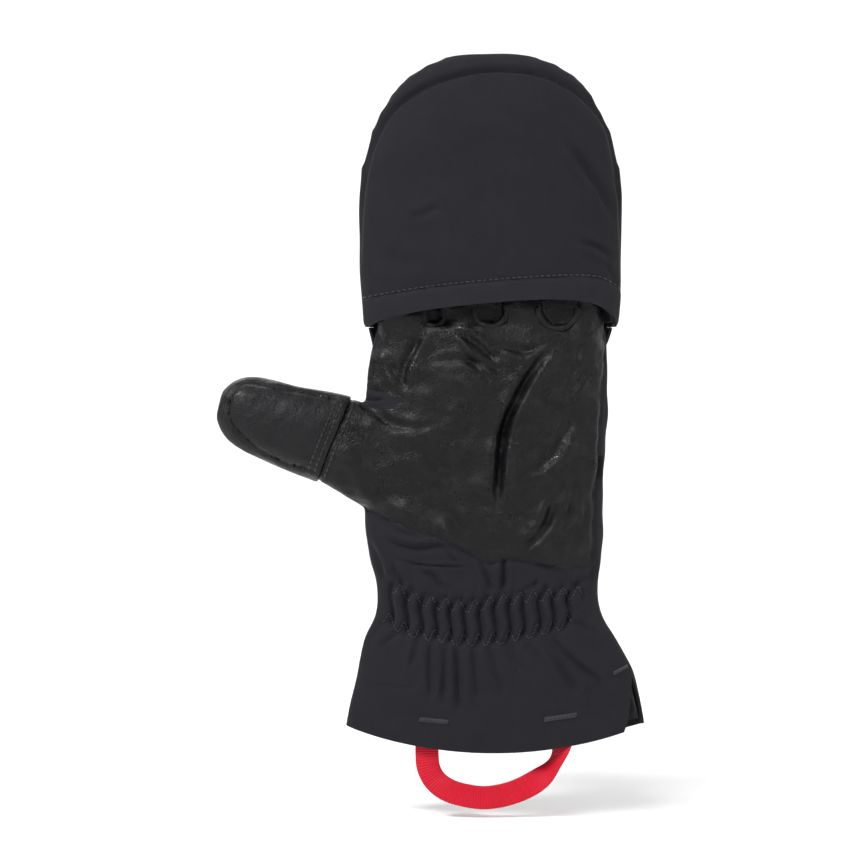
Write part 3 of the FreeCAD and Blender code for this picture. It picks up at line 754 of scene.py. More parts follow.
# path, depth, width, left bank, right bank
leather_folds = [
    ([(30, 121), (22.2, 112.6), (18, 107), (12.4, 97.3), (7, 85.7), (4.3, 74), (3.4, 63.3), (2.5, 49.9),
      (4, 42)], 3.1, 1.9, 2.2, 0.6),
    ([(36.5, 86.6), (31.2, 78.2), (27.6, 71.2), (20, 64.5), (12.2, 60.5)], 1.3, 1.9, 0.9, 0.4),
    ([(26.7, 54.4), (25.8, 45.4), (21.3, 36.4), (11.7, 28.5)], 1.8, 1.9, 0.5, 1.4),
    ([(-18.2, 125.2), (-9.5, 120.5), (-3.2, 115.7), (3.9, 108.6)], 1.5, 1.5, 0.9, 0.4),
    ([(-27.7, 110.2), (-13.5, 111.6), (0.8, 108.2), (10.3, 104.6)], 1.0, 1.6, 0.7, 0.3),
    ([(0.8, 120.5), (8.7, 116.5), (16.6, 115.7), (26.1, 120.5)], 1.2, 1.5, 0.5, 0.7),
    ([(-29.3, 126.4), (-34.9, 115.1), (-38.2, 106.8), (-38, 98)], 1.5, 1.7, 0.9, 0.5),
    ([(-17, 123), (-12, 114), (-4, 106), (2, 98)], 0.8, 1.3, 0.6, 0.3),
    ([(-46, 116), (-43, 108), (-38, 101), (-30, 97)], 0.7, 1.4, 0.3, 0.6),
    ([(-52, 89), (-44, 84), (-33, 82), (-22, 84)], 0.7, 1.8, 0.4, 0.4),
    ([(-34, 76), (-22, 66), (-12, 56), (-6, 46)], 0.6, 2.6, 0.4, 0.5),
    ([(-46, 62), (-32, 52), (-20, 44), (-10, 36)], 0.5, 2.2, 0.5, 0.3),
    ([(34, 66), (36, 56), (35, 46), (30, 38)], 0.7, 1.8, 0.4, 0.7),
    ([(40, 52), (41, 44), (38, 36), (33, 31)], 0.6, 1.3, 0.3, 0.6),
    ([(44, 110), (38, 104), (34, 96), (33, 88)], 0.6, 1.7, 0.5, 0.4),
    ([(42, 122), (38, 116), (37, 110)], 0.6, 1.3, 0.4, 0.4),
    ([(18, 98), (24, 92), (30, 90), (38, 92)], 0.4, 1.5, 0.3, 0.3),
    ([(-14, 100), (-10, 92), (-8, 84), (-9, 76)], 0.5, 2.0, 0.4, 0.4),
    ([(-58, 82), (-52, 76), (-48, 68)], 0.45, 1.8, 0.4, 0.3),
    ([(-70, 64), (-55, 54.5), (-40, 47), (-22, 38.5), (-8, 30), (-2, 25)], -1.3, 3.0, 0.0, 0.0),
    ([(-30, 62), (-22, 52), (-16, 42), (-10, 34)], 0.9, 2.4, 0.5, 0.6),
    ([(46, 118), (45.5, 90), (43.5, 60), (42, 34)], -0.7, 2.2, 0.0, 0.0),
]

softshell_folds = [
    ([(-50, 36), (-42, 31.5), (-33, 29.5), (-22, 30.5), (-12, 26.5)], 1.4, 1.5, 1.0, 0.6),
    ([(-50, 44), (-40, 37.0), (-28, 34.6)], 0.8, 1.2, 0.5, 0.4),
    ([(-43, 26), (-36, 23.6), (-27, 22.2), (-16, 22.0), (-6, 21.6)], 0.8, 0.7, 0.5, 0.35),
    ([(-43.5, 24), (-41, 19), (-37, 13)], 1.2, 1.3, 0.6, 0.6),
    ([(-31, 20), (-25, 17.5), (-20, 11)], 1.3, 1.4, 0.8, 0.6),
    ([(-19, 29), (-17, 25.5), (-14, 23)], 1.0, 1.0, 0.6, 0.5),
    ([(-5, 23.5), (-1.5, 17.5), (1.0, 10)], 1.5, 1.3, 0.8, 0.6),
    ([(5.4, 27), (5.6, 19), (5.0, 11)], 2.4, 1.3, 0.9, 1.0),
    ([(21.5, 15.5), (17, 13.5), (12.5, 10)], 0.9, 1.1, 0.6, 0.4),
    ([(34, 13), (39, 15), (43.5, 19)], 0.9, 1.2, 0.5, 0.5),
    ([(-54, 34), (-49, 24), (-46, 14)], 1.1, 1.2, 0.6, 0.5),
    ([(46, 26), (44, 19), (43, 12)], 1.0, 1.2, 0.5, 0.5),
    ([(-57, 100), (-51, 98.5), (-45, 97)], 0.7, 0.8, 0.5, 0.5),
    ([(-58, 95), (-51, 94), (-45, 95)], 0.7, 0.8, 0.5, 0.5),
]

# the leather loops at the finger crotches: middle, lowest point, width
crotches = {
    "fork_index_middle": (-25.0, 126.4, 7.0, "fourchette_index_middle"),
    "fork_middle_ring": (-0.4, 126.0, 12.5, "fourchette_middle_ring"),
    "fork_ring_little": (28.9, 125.2, 15.5, "fourchette_ring_little"),
}


def crotch_loop(middle, bottom, width, top):
    """A U in plan, from its left end down, round and up again."""
    half = width / 2
    angles = np.linspace(math.pi, 2 * math.pi, 13)
    round_end = [(middle + half * math.cos(a), bottom + half + half * math.sin(a)) for a in angles]
    return smooth_path([(middle - half, top), *round_end, (middle + half, top)], 4)


def seam(plan, path, depth, width):
    """The groove of a sewn seam, of even depth to both ends."""
    gap, along = near_path(plan, path)
    ends = soft_step(along / 0.03) * soft_step((1 - along) / 0.03)
    return -depth * bump_at(gap, width) * ends


THUMB_SIDE = -57.0  # the slit lies wholly to the left of this, and the index finger to its right


def slit_distance(points):
    """How far a point is past the thumb's slit, towards its tip."""
    past = (points - slit_at) @ slit_normal
    return np.minimum(past, THUMB_SIDE - points[:, 0])


pad_seam = smooth_path([
    (-74.5, 63.3), (-78.4, 64.6), (-88.2, 66.8), (-97.2, 71.0), (-107, 78.2), (-112.6, 84.8), (-114.0, 91.0),
    (-111.4, 97.6), (-105, 100.8), (-94.5, 98.8), (-80, 96.4), (-66, 93.4)], 6)


def glove_relief(points, normals):
    """Every fold, seam and puff of the glove's skin, along its normals."""
    plan = points[:, [0, 2]]
    palm = soft_step((-normals[:, 1] - 0.05) / 0.5)
    relief = np.zeros(len(points))
    in_leather = soft_step(inside(plan, leather_outline) / 2.0 + 0.5)
    past = slit_distance(points)
    in_cap = soft_step(past / 1.0 + 0.5)
    hand = soft_step((points[:, 2] - 14) / 20)
    for path, depth, width, left, right in leather_folds:
        relief += palm * crease(plan, smooth_path(path), depth, width, left, right)
    for path, depth, width, left, right in softshell_folds:
        relief += palm * (1 - in_leather) * crease(plan, smooth_path(path), depth, width, left, right)
    relief += palm * in_leather * (1 - in_cap) * (0.85 * waves(points, 13, 2) + 0.42 * waves(points, 5.5, 4)
                                                  + 0.16 * waves(points, 2.6, 6))
    relief += palm * in_leather * 0.35
    relief += (1 - palm) * hand * (0.55 * waves(points, 24, 8) + 0.2 * waves(points, 9, 9))
    relief += (1 - hand) * (0.35 * waves(points, 20, 10) + 0.12 * waves(points, 8, 11))
    relief += palm * seam(plan, leather_edge, 0.9, 1.1)
    relief += palm * gathers(plan)
    for middle, bottom, width, _ in crotches.values():
        relief -= 1.5 * palm * soft_step(inside(plan, crotch_loop(middle, bottom, width, 175.0)) / 2.2)
    pad_side = inside(plan, pad_seam)
    relief += palm * in_cap * (seam(plan, pad_seam, 0.8, 0.9) + 0.6 * soft_step(pad_side / 5)
                               + 0.35 * waves(points, 7, 12) + 0.12 * waves(points, 3, 13))
    relief += 0.7 * soft_step(past / 0.8 + 0.5) - 0.5 * bump_at(past + 0.4, 0.9)
    return relief


# ------------------------------------------------------------------ hood lines
hood_seam = smooth_path([
    (-57.6, 150), (-57.2, 165), (-55.2, 188), (-50.6, 207), (-41.6, 221.8), (-26, 231.2), (-8, 236.4),
    (7.6, 237.0), (23.3, 234.4), (39, 226.3), (49.6, 215), (53.5, 201.7), (55.3, 185), (57.4, 168),
    (58.2, 150)], 5)
hood_outline = np.vstack([hood_seam, [(59, 100), (-59, 100)]])
hem_edge = smooth_path([
    (-62, 124.2), (-52.8, 127.0), (-46.1, 129.4), (-23.7, 133.6), (7.6, 136.7), (30, 137.5), (45.7, 135.6),
    (53.5, 131.0), (62, 126.4)], 6)
hem_stitches = smooth_path([(-62, 137.0), (-56.2, 138.0), (-23.7, 142.8), (7.6, 145.7), (34.5, 147.3),
                            (47.9, 146.4), (56.4, 142.0), (62, 138.5)], 6)
hood_folds = [
    ([(30, 210), (34.5, 203.5), (39.4, 196.1), (47.4, 184.3), (55.5, 169)], 2.1, 2.0, 0.6, 1.5),
    ([(36.4, 163.1), (46.6, 159.7), (53.9, 154.4)], 1.3, 1.5, 0.4, 1.0),
    ([(48.5, 155.6), (51.8, 149), (54, 143)], 0.7, 1.3, 0.3, 0.5),
    ([(-36.4, 171.8), (-30, 174.2), (-20.9, 178.1)], 0.6, 1.7, 0.5, 0.2),
    ([(-50, 158), (-38, 154.0), (-24, 153.4)], 0.45, 3.2, 0.3, 0.3),
    ([(24, 186), (34, 176), (42, 164)], 0.4, 3.5, 0.3, 0.3),
]


def hood_stations():
    """Rows from the skirt to the tip; the dome is a superellipse, as the frame's is."""
    top = hood_high[2]
    length = 81.5
    left, right = hood_low[0], hood_high[0]
    middle, half = (left + right) / 2, (right - left) / 2
    front, back = -hood_front, hood_high[1]
    rows = [(fold_z - 16, left + 5.4, right - 7.4, front - 4, back - 1.0),
            (fold_z - 9, left + 4.4, right - 6.2, front - 3, back - 0.7),
            (fold_z - 1, left + 2.4, right - 3.2, front - 1.8, back - 0.1),
            (fold_z + 7, left + 0.8, right - 1.2, front - 0.6, back + 0.2),
            (fold_z + 18, left + 0.3, right - 0.6, front, back + 0.3),
            (top - length, left + 0.6, right - 0.4, front, back + 0.3)]
    for share in (0.2, 0.4, 0.58, 0.73, 0.85, 0.93, 0.98, 0.999):
        width = half * (1 - share ** 2.6) ** (1 / 2.6)
        thin = (1 - max(share - 0.5, 0) ** 2.2 / 0.5 ** 2.2) ** (1 / 2.2)
        rows.append((top - length + length * share, middle - width, middle + width,
                     (front - 1.6) * thin + 1.0, (back - 1.0) * thin + 1.0))
    return rows


def hood_hem_gap(points):
    """How far a point is above the hood's lower edge: the hem on the palm side, the fold behind."""
    x, y, z = points.T
    hem = np.interp(x, hem_edge[:, 0], hem_edge[:, 1])
    behind = soft_step((y + 8) / 6)
    return z - (hem * (1 - behind) + (fold_z + 0.4) * behind)


SWELL_FRAMES = 16
HOOD_VOXEL = 4.0


def swollen(obj, pressure, limit, held):
    """Lets a closed form swell under its wadding, by cloth simulation; held says what can't move."""
    rest = points_of(obj)
    group = obj.vertex_groups.new(name="held")
    weights = held(rest)
    for k in np.nonzero(weights > 0.01)[0]:
        group.add([int(k)], float(weights[k]), "REPLACE")
    cloth = obj.modifiers.new("cloth", "CLOTH")
    cloth.settings.vertex_group_mass = "held"
    cloth.settings.use_pressure = True
    cloth.settings.uniform_pressure_force = pressure
    cloth.settings.effector_weights.gravity = 0.0
    cloth.settings.quality = 6
    cloth.settings.mass = 0.15
    cloth.settings.tension_stiffness = 22
    cloth.settings.compression_stiffness = 22
    cloth.settings.shear_stiffness = 12
    cloth.settings.bending_stiffness = 1.2
    scene = bpy.context.scene
    for number in range(1, SWELL_FRAMES + 1):
        scene.frame_set(number)
    graph = bpy.context.evaluated_depsgraph_get()
    swelled = points_of(obj.evaluated_get(graph))
    obj.modifiers.clear()
    scene.frame_set(1)
    move = swelled - rest
    reach = np.linalg.norm(move, axis=1)
    move *= np.minimum(1.0, limit / np.maximum(reach, 1e-6))[:, None]
    set_points(obj, rest + move)
    return obj


def hood_skin():
    """The hood's padded form, closed, fine enough for its seams and folds."""
    form = closed_tube("hood_form", upright_rings(hood_stations(), 3.0))
    skin = merged([form], HOOD_VOXEL, 4, "hood_skin")
    swollen(skin, 3.0, 2.2, lambda p: soft_step((fold_z + 16 - p[:, 2]) / 12))
    return with_modifier(skin, "SUBSURF", levels=2)


def hood_relief(points, normals):
    plan = points[:, [0, 2]]
    palm = soft_step((-normals[:, 1] - 0.05) / 0.5)
    relief = 0.5 * waves(points, 26, 21) + 0.16 * waves(points, 9, 22)
    for path, depth, width, left, right in hood_folds:
        relief += palm * crease(plan, smooth_path(path), depth, width, left, right)
    relief += seam(plan, hood_seam, 1.5, 1.2) * palm
    outside = -inside(plan, hood_outline)
    relief += 1.2 * soft_step(outside / 3.0) * palm
    gap, _ = near_path(plan, hem_stitches)
    relief += palm * (0.55 * soft_step(-gap / 0.8 + 0.3) - 0.45 * bump_at(gap, 0.8))
    from_magnet = np.hypot(plan[:, 0] - magnet_x, plan[:, 1] - magnet_z)
    relief += 0.3 * palm * soft_step((7.6 - from_magnet) / 1.6)
    return relief


# ------------------------------------------------------------------ threads
def thread_tube(paths, radius, sides=6):
    """Points and faces of round threads that follow paths."""
    points, faces, count = [], [], 0
    for path in paths:
        path = np.asarray(path, float)
        along = headings(path)
        side = np.cross(along, [0.0, 1.0, 0.0])
        side /= np.maximum(np.linalg.norm(side, axis=1), 1e-6)[:, None]
        up = np.cross(side, along)
        angles = np.arange(sides) / sides * 2 * math.pi
        ring = np.cos(angles)[None, :, None] * side[:, None] + np.sin(angles)[None, :, None] * up[:, None]
        rows = path[:, None] + ring * radius
        points.append(rows.reshape(-1, 3))
        quads = np.array(grid_faces(len(path), sides, True)) + count
        faces += quads.tolist()
        faces.append([count + k for k in range(sides - 1, -1, -1)])
        faces.append([count + (len(path) - 1) * sides + k for k in range(sides)])
        count += len(path) * sides
    return np.vstack(points), faces


def surface_of(*objects):
    """A ray-cast tree of some pieces' meshes together."""
    points, faces = gathered(objects)
    return BVHTree.FromPolygons([Vector(p) for p in points], faces)


def on_palm(tree, x, z):
    """The palm-side point of a surface at a place in plan."""
    hit = tree.ray_cast(Vector((x, -80.0, z)), Vector((0, 1, 0)))[0]
    return None if hit is None else np.array(hit)


def stitch_paths(tree, path, pitch, length, proud):
    """Stitches along a plan path, each of which dips into the cloth at both ends."""
    stitches = []
    for start in np.arange(0, walked(path)[-1] - length, pitch):
        plan = at_marks(path, start + length * np.linspace(0, 1, 6))
        hits = [on_palm(tree, x, z) for x, z in plan]
        if any(h is None for h in hits):
            continue
        rise = proud * np.array([-1.2, 0.4, 1.0, 1.0, 0.4, -1.2])
        stitches.append(np.array(hits) + np.outer(rise, [0, -1.0, 0]))
    return stitches


THREAD = 0.24       # a thread's radius


def threads(name, paths, radius, body, *nodes):
    """Some stitches as a piece."""
    made = new_mesh(name, *thread_tube(paths, radius))
    return finished(made, "thread", seam_thread, body, *nodes, sharp=80)


def stitch_row(name, tree, path, body, *nodes):
    """One row of straight stitches as a piece."""
    return threads(name, stitch_paths(tree, path, 2.5, 1.75, 0.35), THREAD, body, *nodes)


def bartack(tree, centre, length, width, tilt, turns):
    """A dense bar of satin stitches."""
    c, s = math.cos(math.radians(tilt)), math.sin(math.radians(tilt))
    paths = []
    for k in range(turns):
        u = length * (k / (turns - 1) - 0.5)
        ends = [(u - 0.3, -width / 2), (u + 0.3, width / 2)]
        plan = [(centre[0] + a * c - b * s, centre[1] + a * s + b * c) for a, b in ends]
        line = np.linspace(plan[0], plan[1], 5)
        hits = [on_palm(tree, x, z) for x, z in line]
        if any(h is None for h in hits):
            continue
        paths.append(np.array(hits) + np.outer([-0.3, 0.4, 0.55, 0.4, -0.3], [0, -1.0, 0]))
    return paths


# ------------------------------------------------------------------ the glove
SIDE_SEAM = -3.0


def plan_field(outline, sign=1.0):
    return lambda p: sign * inside(p[:, [0, 2]], outline)


def palm_half(p):
    return SIDE_SEAM - p[:, 1]


def above(z):
    return lambda p: p[:, 2] - z


def below(z):
    return lambda p: z - p[:, 2]


def behind(y):
    return lambda p: p[:, 1] - y


HEM_RADIUS = 195.0


def above_hem(rise):
    """Above the cuff's hem, which is cut as an arc."""
    centre = hem_low + HEM_RADIUS
    return lambda p: HEM_RADIUS - rise - np.hypot(p[:, 0] - 1.0, p[:, 2] - centre)


def before_slit(gap):
    return lambda p: -gap - slit_distance(p)


def past_slit(gap):
    return lambda p: slit_distance(p) - gap


def finger_tops(points):
    """Below the half fingers' openings, which slope so that the hood's hem can swing past."""
    reach = 29.6 - 4.2 * (points[:, 0] / 48) ** 2
    from_fold = np.hypot(points[:, 1] - fold_at[1], points[:, 2] - fold_z)
    return np.maximum(reach - from_fold, fold_z - points[:, 2])


def off_cuff_slit(points):
    """Outside the wedge cut into the cuff on the little finger's side."""
    x, y, z = points.T
    top, seam_y, spread, side_x = hem_low + 33.0, -3.5, 0.16, 45
    return -np.minimum(spread * (top - z) - np.abs(y - seam_y), x - side_x)


LEATHER_FROM, CUFF_UP_TO, SIDE_FROM = 15, 70, 60    # heights that part the palm's panels
SLIT_GAP = 0.3      # from the slit's line to each leather edge
CAP_PROUD = 0.3     # the cap stands over the thumb
leather_field = plan_field(leather_outline)
cloth_field = plan_field(leather_outline, -1.0)
gusset_outline = np.array([(-70, 104), (-44, 104), (-38, 99), (-38, 88), (-70, 84)])
gusset_field = plan_field(gusset_outline)


def make_glove():
    skin = glove_skin()
    form = copy_of(skin, "lining_form")
    points, normals = points_of(skin), normals_of(skin)
    set_points(skin, points + normals * glove_relief(points, normals)[:, None])
    to_slit = before_slit(SLIT_GAP)
    wrist_z = elastic_low[2] - 2
    palm = sewn(skin, "palm_leather_panel",
                [palm_half, above(LEATHER_FROM), leather_field, to_slit, finger_tops],
                "leather", "glove", "palm_leather")
    wrist = sewn(skin, "cuff_palm_cloth",
                 [palm_half, below(CUFF_UP_TO), cloth_field, to_slit, above_hem(0), off_cuff_slit],
                 "softshell", "glove", "cuff_palm_panel", "wrist_elastic")
    sewn(skin, "thumb_gusset_cloth", [palm_half, gusset_field, cloth_field],
         "softshell", "glove", "thumb_gusset")
    sewn(skin, "index_side_cloth",
         [palm_half, above(SIDE_FROM), cloth_field, lambda p: -gusset_field(p), finger_tops, to_slit],
         "softshell", "glove")
    sewn(skin, "back_cloth", [behind(SIDE_SEAM), above(wrist_z), to_slit, finger_tops],
         "softshell", "glove", "back_panel")
    sewn(skin, "cuff_back_cloth", [behind(SIDE_SEAM), below(wrist_z - 0.2), above_hem(0), off_cuff_slit],
         "softshell", "glove", "cuff_back_panel")
    make_thumb_cap(skin)
    make_glove_lining(form)
    return skin, palm, wrist


def make_glove_lining(form):
    """The lining, inside the deepest folds: close to the shell in the cuff, and past the wadding above."""
    points = points_of(form)
    inset = 2.7 + 1.9 * soft_step((points[:, 2] + 34) / 20)
    set_points(form, points - normals_of(form) * inset[:, None])
    halves = (("palm", palm_half, ("palm_lining", "palm_insulation", "cuff_lining_palm", "thumb_sheath")),
              ("back", behind(SIDE_SEAM), ("back_lining", "back_insulation", "cuff_lining_back")))
    for name, half, nodes in halves:
        sewn(form, f"{name}_knit_lining",
             [half, above_hem(3.0), lambda p: finger_tops(p) - 1.0, before_slit(-3.5), off_cuff_slit],
             "lining", "glove", *nodes)
    discard(form)


def make_thumb_cap(skin):
    cap = past_slit(SLIT_GAP)
    pad = sewn(skin, "thumb_cap_pad_leather", [cap, palm_half, plan_field(pad_seam)],
               "thumb", "thumb_cap", "thumb_cap_pad", outwards=CAP_PROUD)
    sewn(skin, "thumb_cap_rim_leather", [cap, palm_half, plan_field(pad_seam, -1.0)],
         "thumb", "thumb_cap", "thumb_cap_rim", outwards=CAP_PROUD)
    sewn(skin, "thumb_cap_back_leather", [cap, behind(SIDE_SEAM)],
         "thumb", "thumb_cap", "thumb_cap_back", outwards=CAP_PROUD)
    inner = copy_of(skin, "cap_lining_skin")
    set_points(inner, points_of(inner) - normals_of(inner) * (LEATHER + CAP_PROUD))
    sewn(inner, "thumb_cap_knit_lining", [past_slit(LEATHER)], "lining", "thumb_cap", "thumb_cap_lining")
    discard(inner)


def fork_web(middle, bottom, width, depths):
    """Points and faces of the leather between two fingers, hollowed behind its rolled edge."""
    rows, columns, half = 14, 13, width / 2
    top = 140.0
    points = []
    for z in np.linspace(bottom + 0.05, top, rows):
        reach = half * math.sqrt(1 - max(0.0, 1 - (z - bottom) / half) ** 2)
        for u in np.linspace(-1, 1, columns):
            x = middle + reach * u
            hollow = 2.2 * (1 - u * u) * soft_step((z - bottom) / 3) + 0.25 * math.sin(2.3 * z + 3 * u)
            points.append((x, depths + 0.5 + hollow, z))
    front = np.array(points)
    count = len(front)
    faces = grid_faces(rows, columns, False)
    back = [[v + count for v in reversed(face)] for face in faces]
    border = [*range(columns)] + [r * columns + columns - 1 for r in range(1, rows)]
    border += [(rows - 1) * columns + c for c in range(columns - 2, -1, -1)]
    border += [r * columns for r in range(rows - 2, 0, -1)]
    rim = [(b, a, a + count, b + count) for a, b in zip(border, border[1:] + border[:1])]
    return np.vstack([front, front + (0, 1.0, 0)]), faces + back + rim


def make_forks(palm):
    """The leather between the fingers, with its edge rolled over each crotch."""
    tree = surface_of(palm)
    for name, (middle, bottom, width, node) in crotches.items():
        plan = crotch_loop(middle, bottom, width + 1.6, 134.0)
        depths = np.array([on_palm(tree, x, z)[1] for x, z in plan])
        depths = np.convolve(np.pad(depths, 12, mode="edge"), np.ones(25) / 25, mode="valid")
        line = np.column_stack([plan[:, 0], depths, plan[:, 1]])
        along = headings(plan)
        turns = np.arange(12) / 12 * 2 * math.pi
        rings = []
        for k, centre in enumerate(line):
            radius = 1.2 + 0.15 * math.sin(0.33 * k + middle)
            wide, deep = 1.2 * np.array([along[k, 1], 0, -along[k, 0]]), np.array([0, 1.0, 0])
            rings.append([centre + radius * (math.cos(a) * wide + math.sin(a) * deep) for a in turns])
        roll = closed_tube("roll", rings)
        web, faces = fork_web(middle, bottom, width + 1.6, depths.mean())
        rolled = points_of(roll)
        faces += [[v + len(web) for v in p.vertices] for p in roll.data.polygons]
        discard(roll)
        finished(new_mesh(name, np.vstack([web, rolled]), faces), "leather", leather, "glove", node, sharp=70)


# ------------------------------------------------------------------ the hood
def make_hood():
    skin = hood_skin()
    points, normals = points_of(skin), normals_of(skin)
    set_points(skin, points + normals * hood_relief(points, normals)[:, None])
    in_seam = plan_field(hood_outline)
    side_y = -1.5

    def palm_panel(p):
        return np.minimum(in_seam(p), side_y - p[:, 1])

    def over_stitches(p):
        return near_path(p[:, [0, 2]], hem_stitches)[0]

    front = sewn(skin, "hood_palm_cloth", [hood_hem_gap, palm_panel, over_stitches],
                 "softshell", "hood", "hood_palm_panel", "hood_palm_insulation")
    band = sewn(skin, "hood_hem_cloth", [hood_hem_gap, palm_panel, lambda p: -over_stitches(p)],
                "hem", "hood", "hood_hem_band")
    back = sewn(skin, "hood_back_cloth", [hood_hem_gap, lambda p: -palm_panel(p)],
                "softshell", "hood", "hood_back_panel", "hood_back_insulation")
    sewn(skin, "hood_skirt_cloth", [below(fold_z), above(fold_z - 8.6), behind(3.0)],
         "softshell", "glove", "hood_skirt")
    fold_from, fold_to = (fold_z - 2.0) * MM, (fold_z + 2.0) * MM
    sewn(skin, "hood_fold_cloth", [below(fold_z + 6.5), above(fold_z - 6.5), behind(4.5)], "fold", None,
         outwards=-1.5, blend=("glove", "hood", (0, 0, fold_from), (0, 0, fold_to)))
    inner = copy_of(skin, "hood_lining_skin")
    with_modifier(inner, "SMOOTH", factor=0.5, iterations=6)
    set_points(inner, points_of(inner) - normals_of(inner) * (LOFT - LINING))
    sewn(inner, "hood_knit_lining", [lambda p: hood_hem_gap(p) - 2.0],
         "lining", "hood", "hood_palm_lining", "hood_back_lining", "hood_magnet")
    discard(inner)
    tree = surface_of(front, band)
    row = smooth_path([p + (0, 0.9) for p in hem_stitches[3:-3:4]], 4)
    stitch_row("hood_hem_thread", tree, row, "hood", "hood_hem_stitches")
    discard(skin)


# ------------------------------------------------------------------ webbing loop
def make_loop():
    path = smooth_path([
        (-27.7, -7.3, -43.0), (-27.8, -7.3, -52.0), (-27.9, -7.3, -60.0), (-27.2, -7.3, -66.0),
        (-24.2, -7.3, -71.6), (-18.4, -7.3, -75.8), (-10.0, -7.4, -78.2), (-1.4, -7.4, -78.9),
        (8.5, -7.4, -77.0), (17.6, -7.3, -73.0), (24.8, -7.3, -67.6), (29.0, -7.3, -61.6),
        (30.8, -7.3, -55.0), (30.6, -7.3, -49.0), (30.0, -7.3, -43.0)], 40)
    length = walked(path)[-1]
    marks = np.arange(0, length, 0.22)
    line = at_marks(path, marks)
    along = headings(line)
    share = marks / length
    twist = np.radians(64 * bump_at(share - 0.81, 0.10) + 12 * bump_at(share - 0.26, 0.06))
    flat = np.cross(along, [0.0, 1.0, 0.0])
    flat /= np.linalg.norm(flat, axis=1)[:, None]
    face = np.cross(flat, along)
    across = flat * np.cos(twist)[:, None] + face * np.sin(twist)[:, None]
    normal = np.cross(across, along)
    half, thick = 5.1, 0.7
    rib = 0.16 * np.sin(2 * math.pi * marks / 1.05)
    profile = [(-1.0, 0.0), (-0.97, 0.75), (-0.86, 1.0), *((u, 0.92) for u in (-0.6, -0.3, 0.0, 0.3, 0.6)),
               (0.86, 1.0), (0.97, 0.75), (1.0, 0.0)]
    profile += [(u, -v) for u, v in reversed(profile[1:-1])]
    rings = []
    for k, centre in enumerate(line):
        ring = [centre + across[k] * half * u + normal[k] * v * (thick + rib[k] * (abs(u) < 0.9))
                for u, v in profile]
        rings.append(ring)
    made = closed_tube("pull_loop_tape", rings)
    turn_z = loop_at[2] * MM
    finished(made, "webbing", webbing, None, "pull_loop", "pull_loop_ends", sharp=60,
             blend=("glove", "pull_loop", (0, 0, turn_z + 0.003), (0, 0, turn_z - 0.006)))


# ------------------------------------------------------------------ threads of the glove
def make_threads(palm, wrist):
    tree = surface_of(wrist)
    rows = [stitch_paths(tree, path, 1.55, 1.05, 0.28) for path in zigzags]
    threads("elastic_thread", rows[0] + rows[1], THREAD, "glove", "elastic_stitches")
    bars = bartack(tree, (-25, -45), 12, 2.0, -5, 22) + bartack(tree, (30, -43.5), 13.5, 2.0, 8, 24)
    threads("loop_bartack_thread", bars, 0.3, "glove", "loop_bartacks")
    bar = bartack(tree, (57.0, -23.2), 7.5, 1.5, 24, 14)
    threads("slit_bartack_thread", bar, 0.28, "glove", "slit_bartack")
    base = surface_of(palm)
    centre = slit_at[[0, 2]]
    run, out = slit_line[[0, 2]], slit_normal[[0, 2]]

    def slit_row(distance, half):
        return np.array([centre + out * distance + run * t for t in np.linspace(-half, half, 12)])

    stitch_row("thumb_base_thread", base, slit_row(-2.4, 16.5), "glove", "thumb_base_stitches")
    cap = surface_of(bpy.data.objects["thumb_cap_pad_leather"], bpy.data.objects["thumb_cap_rim_leather"])
    for k, distance in enumerate((2.6, 5.4)):
        nodes = ["thumb_cap_stitches"] if k == 0 else []
        stitch_row(f"thumb_cap_thread_{k}", cap, slit_row(distance, 16.0), "thumb_cap", *nodes)


# ------------------------------------------------------------------ the studio
# place from the mitten's middle, width, power
softboxes = [((-1.0, -0.8, 1.2), 0.4, 20), ((1.3, -0.5, 0.4), 0.5, 4), ((-0.3, 1.2, 1.0), 0.9, 6)]


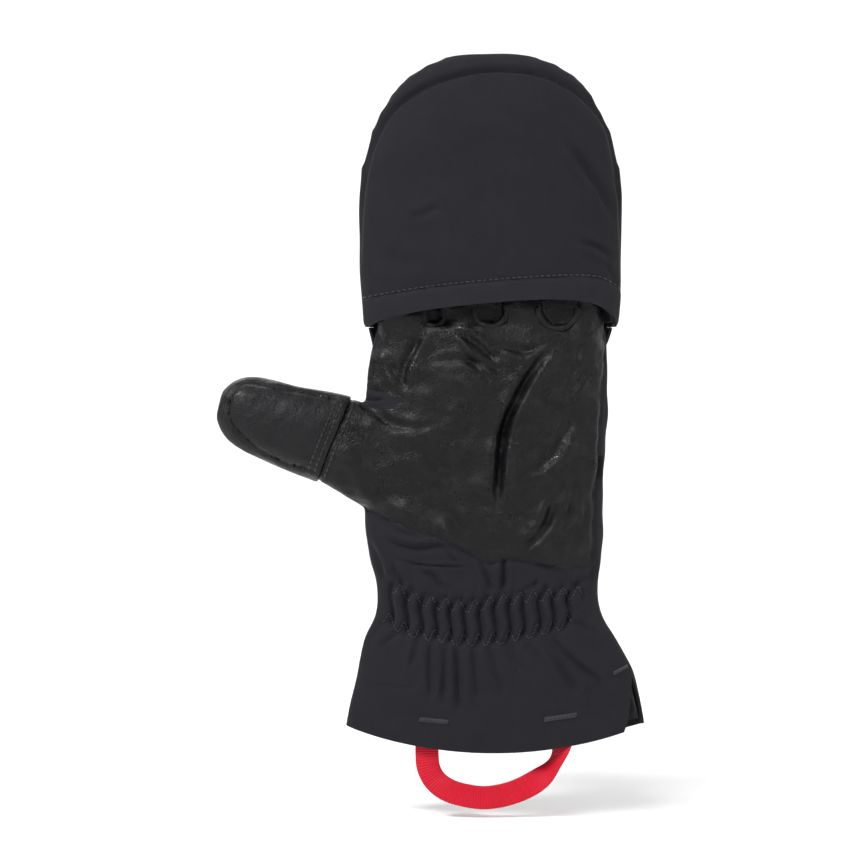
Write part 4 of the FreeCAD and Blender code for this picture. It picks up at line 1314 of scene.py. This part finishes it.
def make_studio():
    low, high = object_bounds()
    floor_z = low.z - 0.004
    reach, curve, sides = 2.6, 1.2, 96
    profile = [(reach * k / 12, 0.0) for k in range(1, 13)]
    profile += [(reach + curve * math.sin(a), curve * (1 - math.cos(a)))
                for a in np.linspace(0.1, math.pi / 2, 12)]
    profile += [(reach + curve, 3.2)]
    turns = np.arange(sides) / sides * 2 * math.pi
    rings = [[(r * math.cos(a), r * math.sin(a), floor_z + h) for a in turns] for r, h in profile]
    count = len(rings) * sides
    faces = grid_faces(len(rings), sides, True)
    faces += [(k, count, (k + 1) % sides) for k in range(sides)]
    floor = new_mesh("studio_floor", np.vstack([*rings, [(0, 0, floor_z)]]) / MM, faces)
    floor.data.shade_smooth()
    pale = Look("studio_floor", 0.9, Specular_IOR_Level=0.1)
    pale.set(pale.shader, Base_Color=pale.mixed(pale.noise(400), (0.9, 0.9, 0.9), (0.93, 0.93, 0.93)))
    floor.data.materials.append(pale.material)
    world = bpy.data.worlds.new("studio")
    world.use_nodes = True
    world.node_tree.nodes["Background"].inputs[0].default_value = (1, 1, 1, 1)
    world.node_tree.nodes["Background"].inputs[1].default_value = 0.62
    bpy.context.scene.world = world
    centre = (low + high) / 2
    for place, size, power in softboxes:
        light = bpy.data.lights.new("softbox", "AREA")
        light.shape, light.size, light.energy = "DISK", size, power
        add_lamp(light, centre + Vector(place), centre)
    sun = bpy.data.lights.new("top_light", "SUN")
    sun.energy, sun.angle = 1.5, math.radians(24)
    add_lamp(sun, centre + Vector((-0.5, -1.2, 1.3)), centre)


def add_lamp(light, place, target):
    lamp = bpy.data.objects.new(light.name, light)
    lamp.location = place
    lamp.rotation_mode = "QUATERNION"
    lamp.rotation_quaternion = (target - place).to_track_quat("-Z", "Y")
    bpy.context.scene.collection.objects.link(lamp)


def make_camera():
    low, high = cad_box
    centre = (low + high) / 2
    camera = bpy.data.cameras.new("camera")
    camera.lens, camera.sensor_width = 100, 36
    obj = bpy.data.objects.new("camera", camera)
    bpy.context.scene.collection.objects.link(obj)
    height = (high.z - low.z) * 1.14
    obj.location = centre + Vector((0, -height * camera.lens / camera.sensor_width, 0))
    obj.rotation_euler = (math.radians(90), 0, 0)
    bpy.context.scene.camera = obj
    bpy.context.scene.view_settings.view_transform = "Standard"


make_camera()
glove_surface, palm_piece, wrist_piece = make_glove()
make_forks(palm_piece)
make_hood()
make_loop()
make_threads(palm_piece, wrist_piece)
discard(glove_surface)
make_studio()

back_magnet = frame["nodes"]["back_magnet"].data
back_magnet.materials.clear()
back_magnet.materials.append(knit)
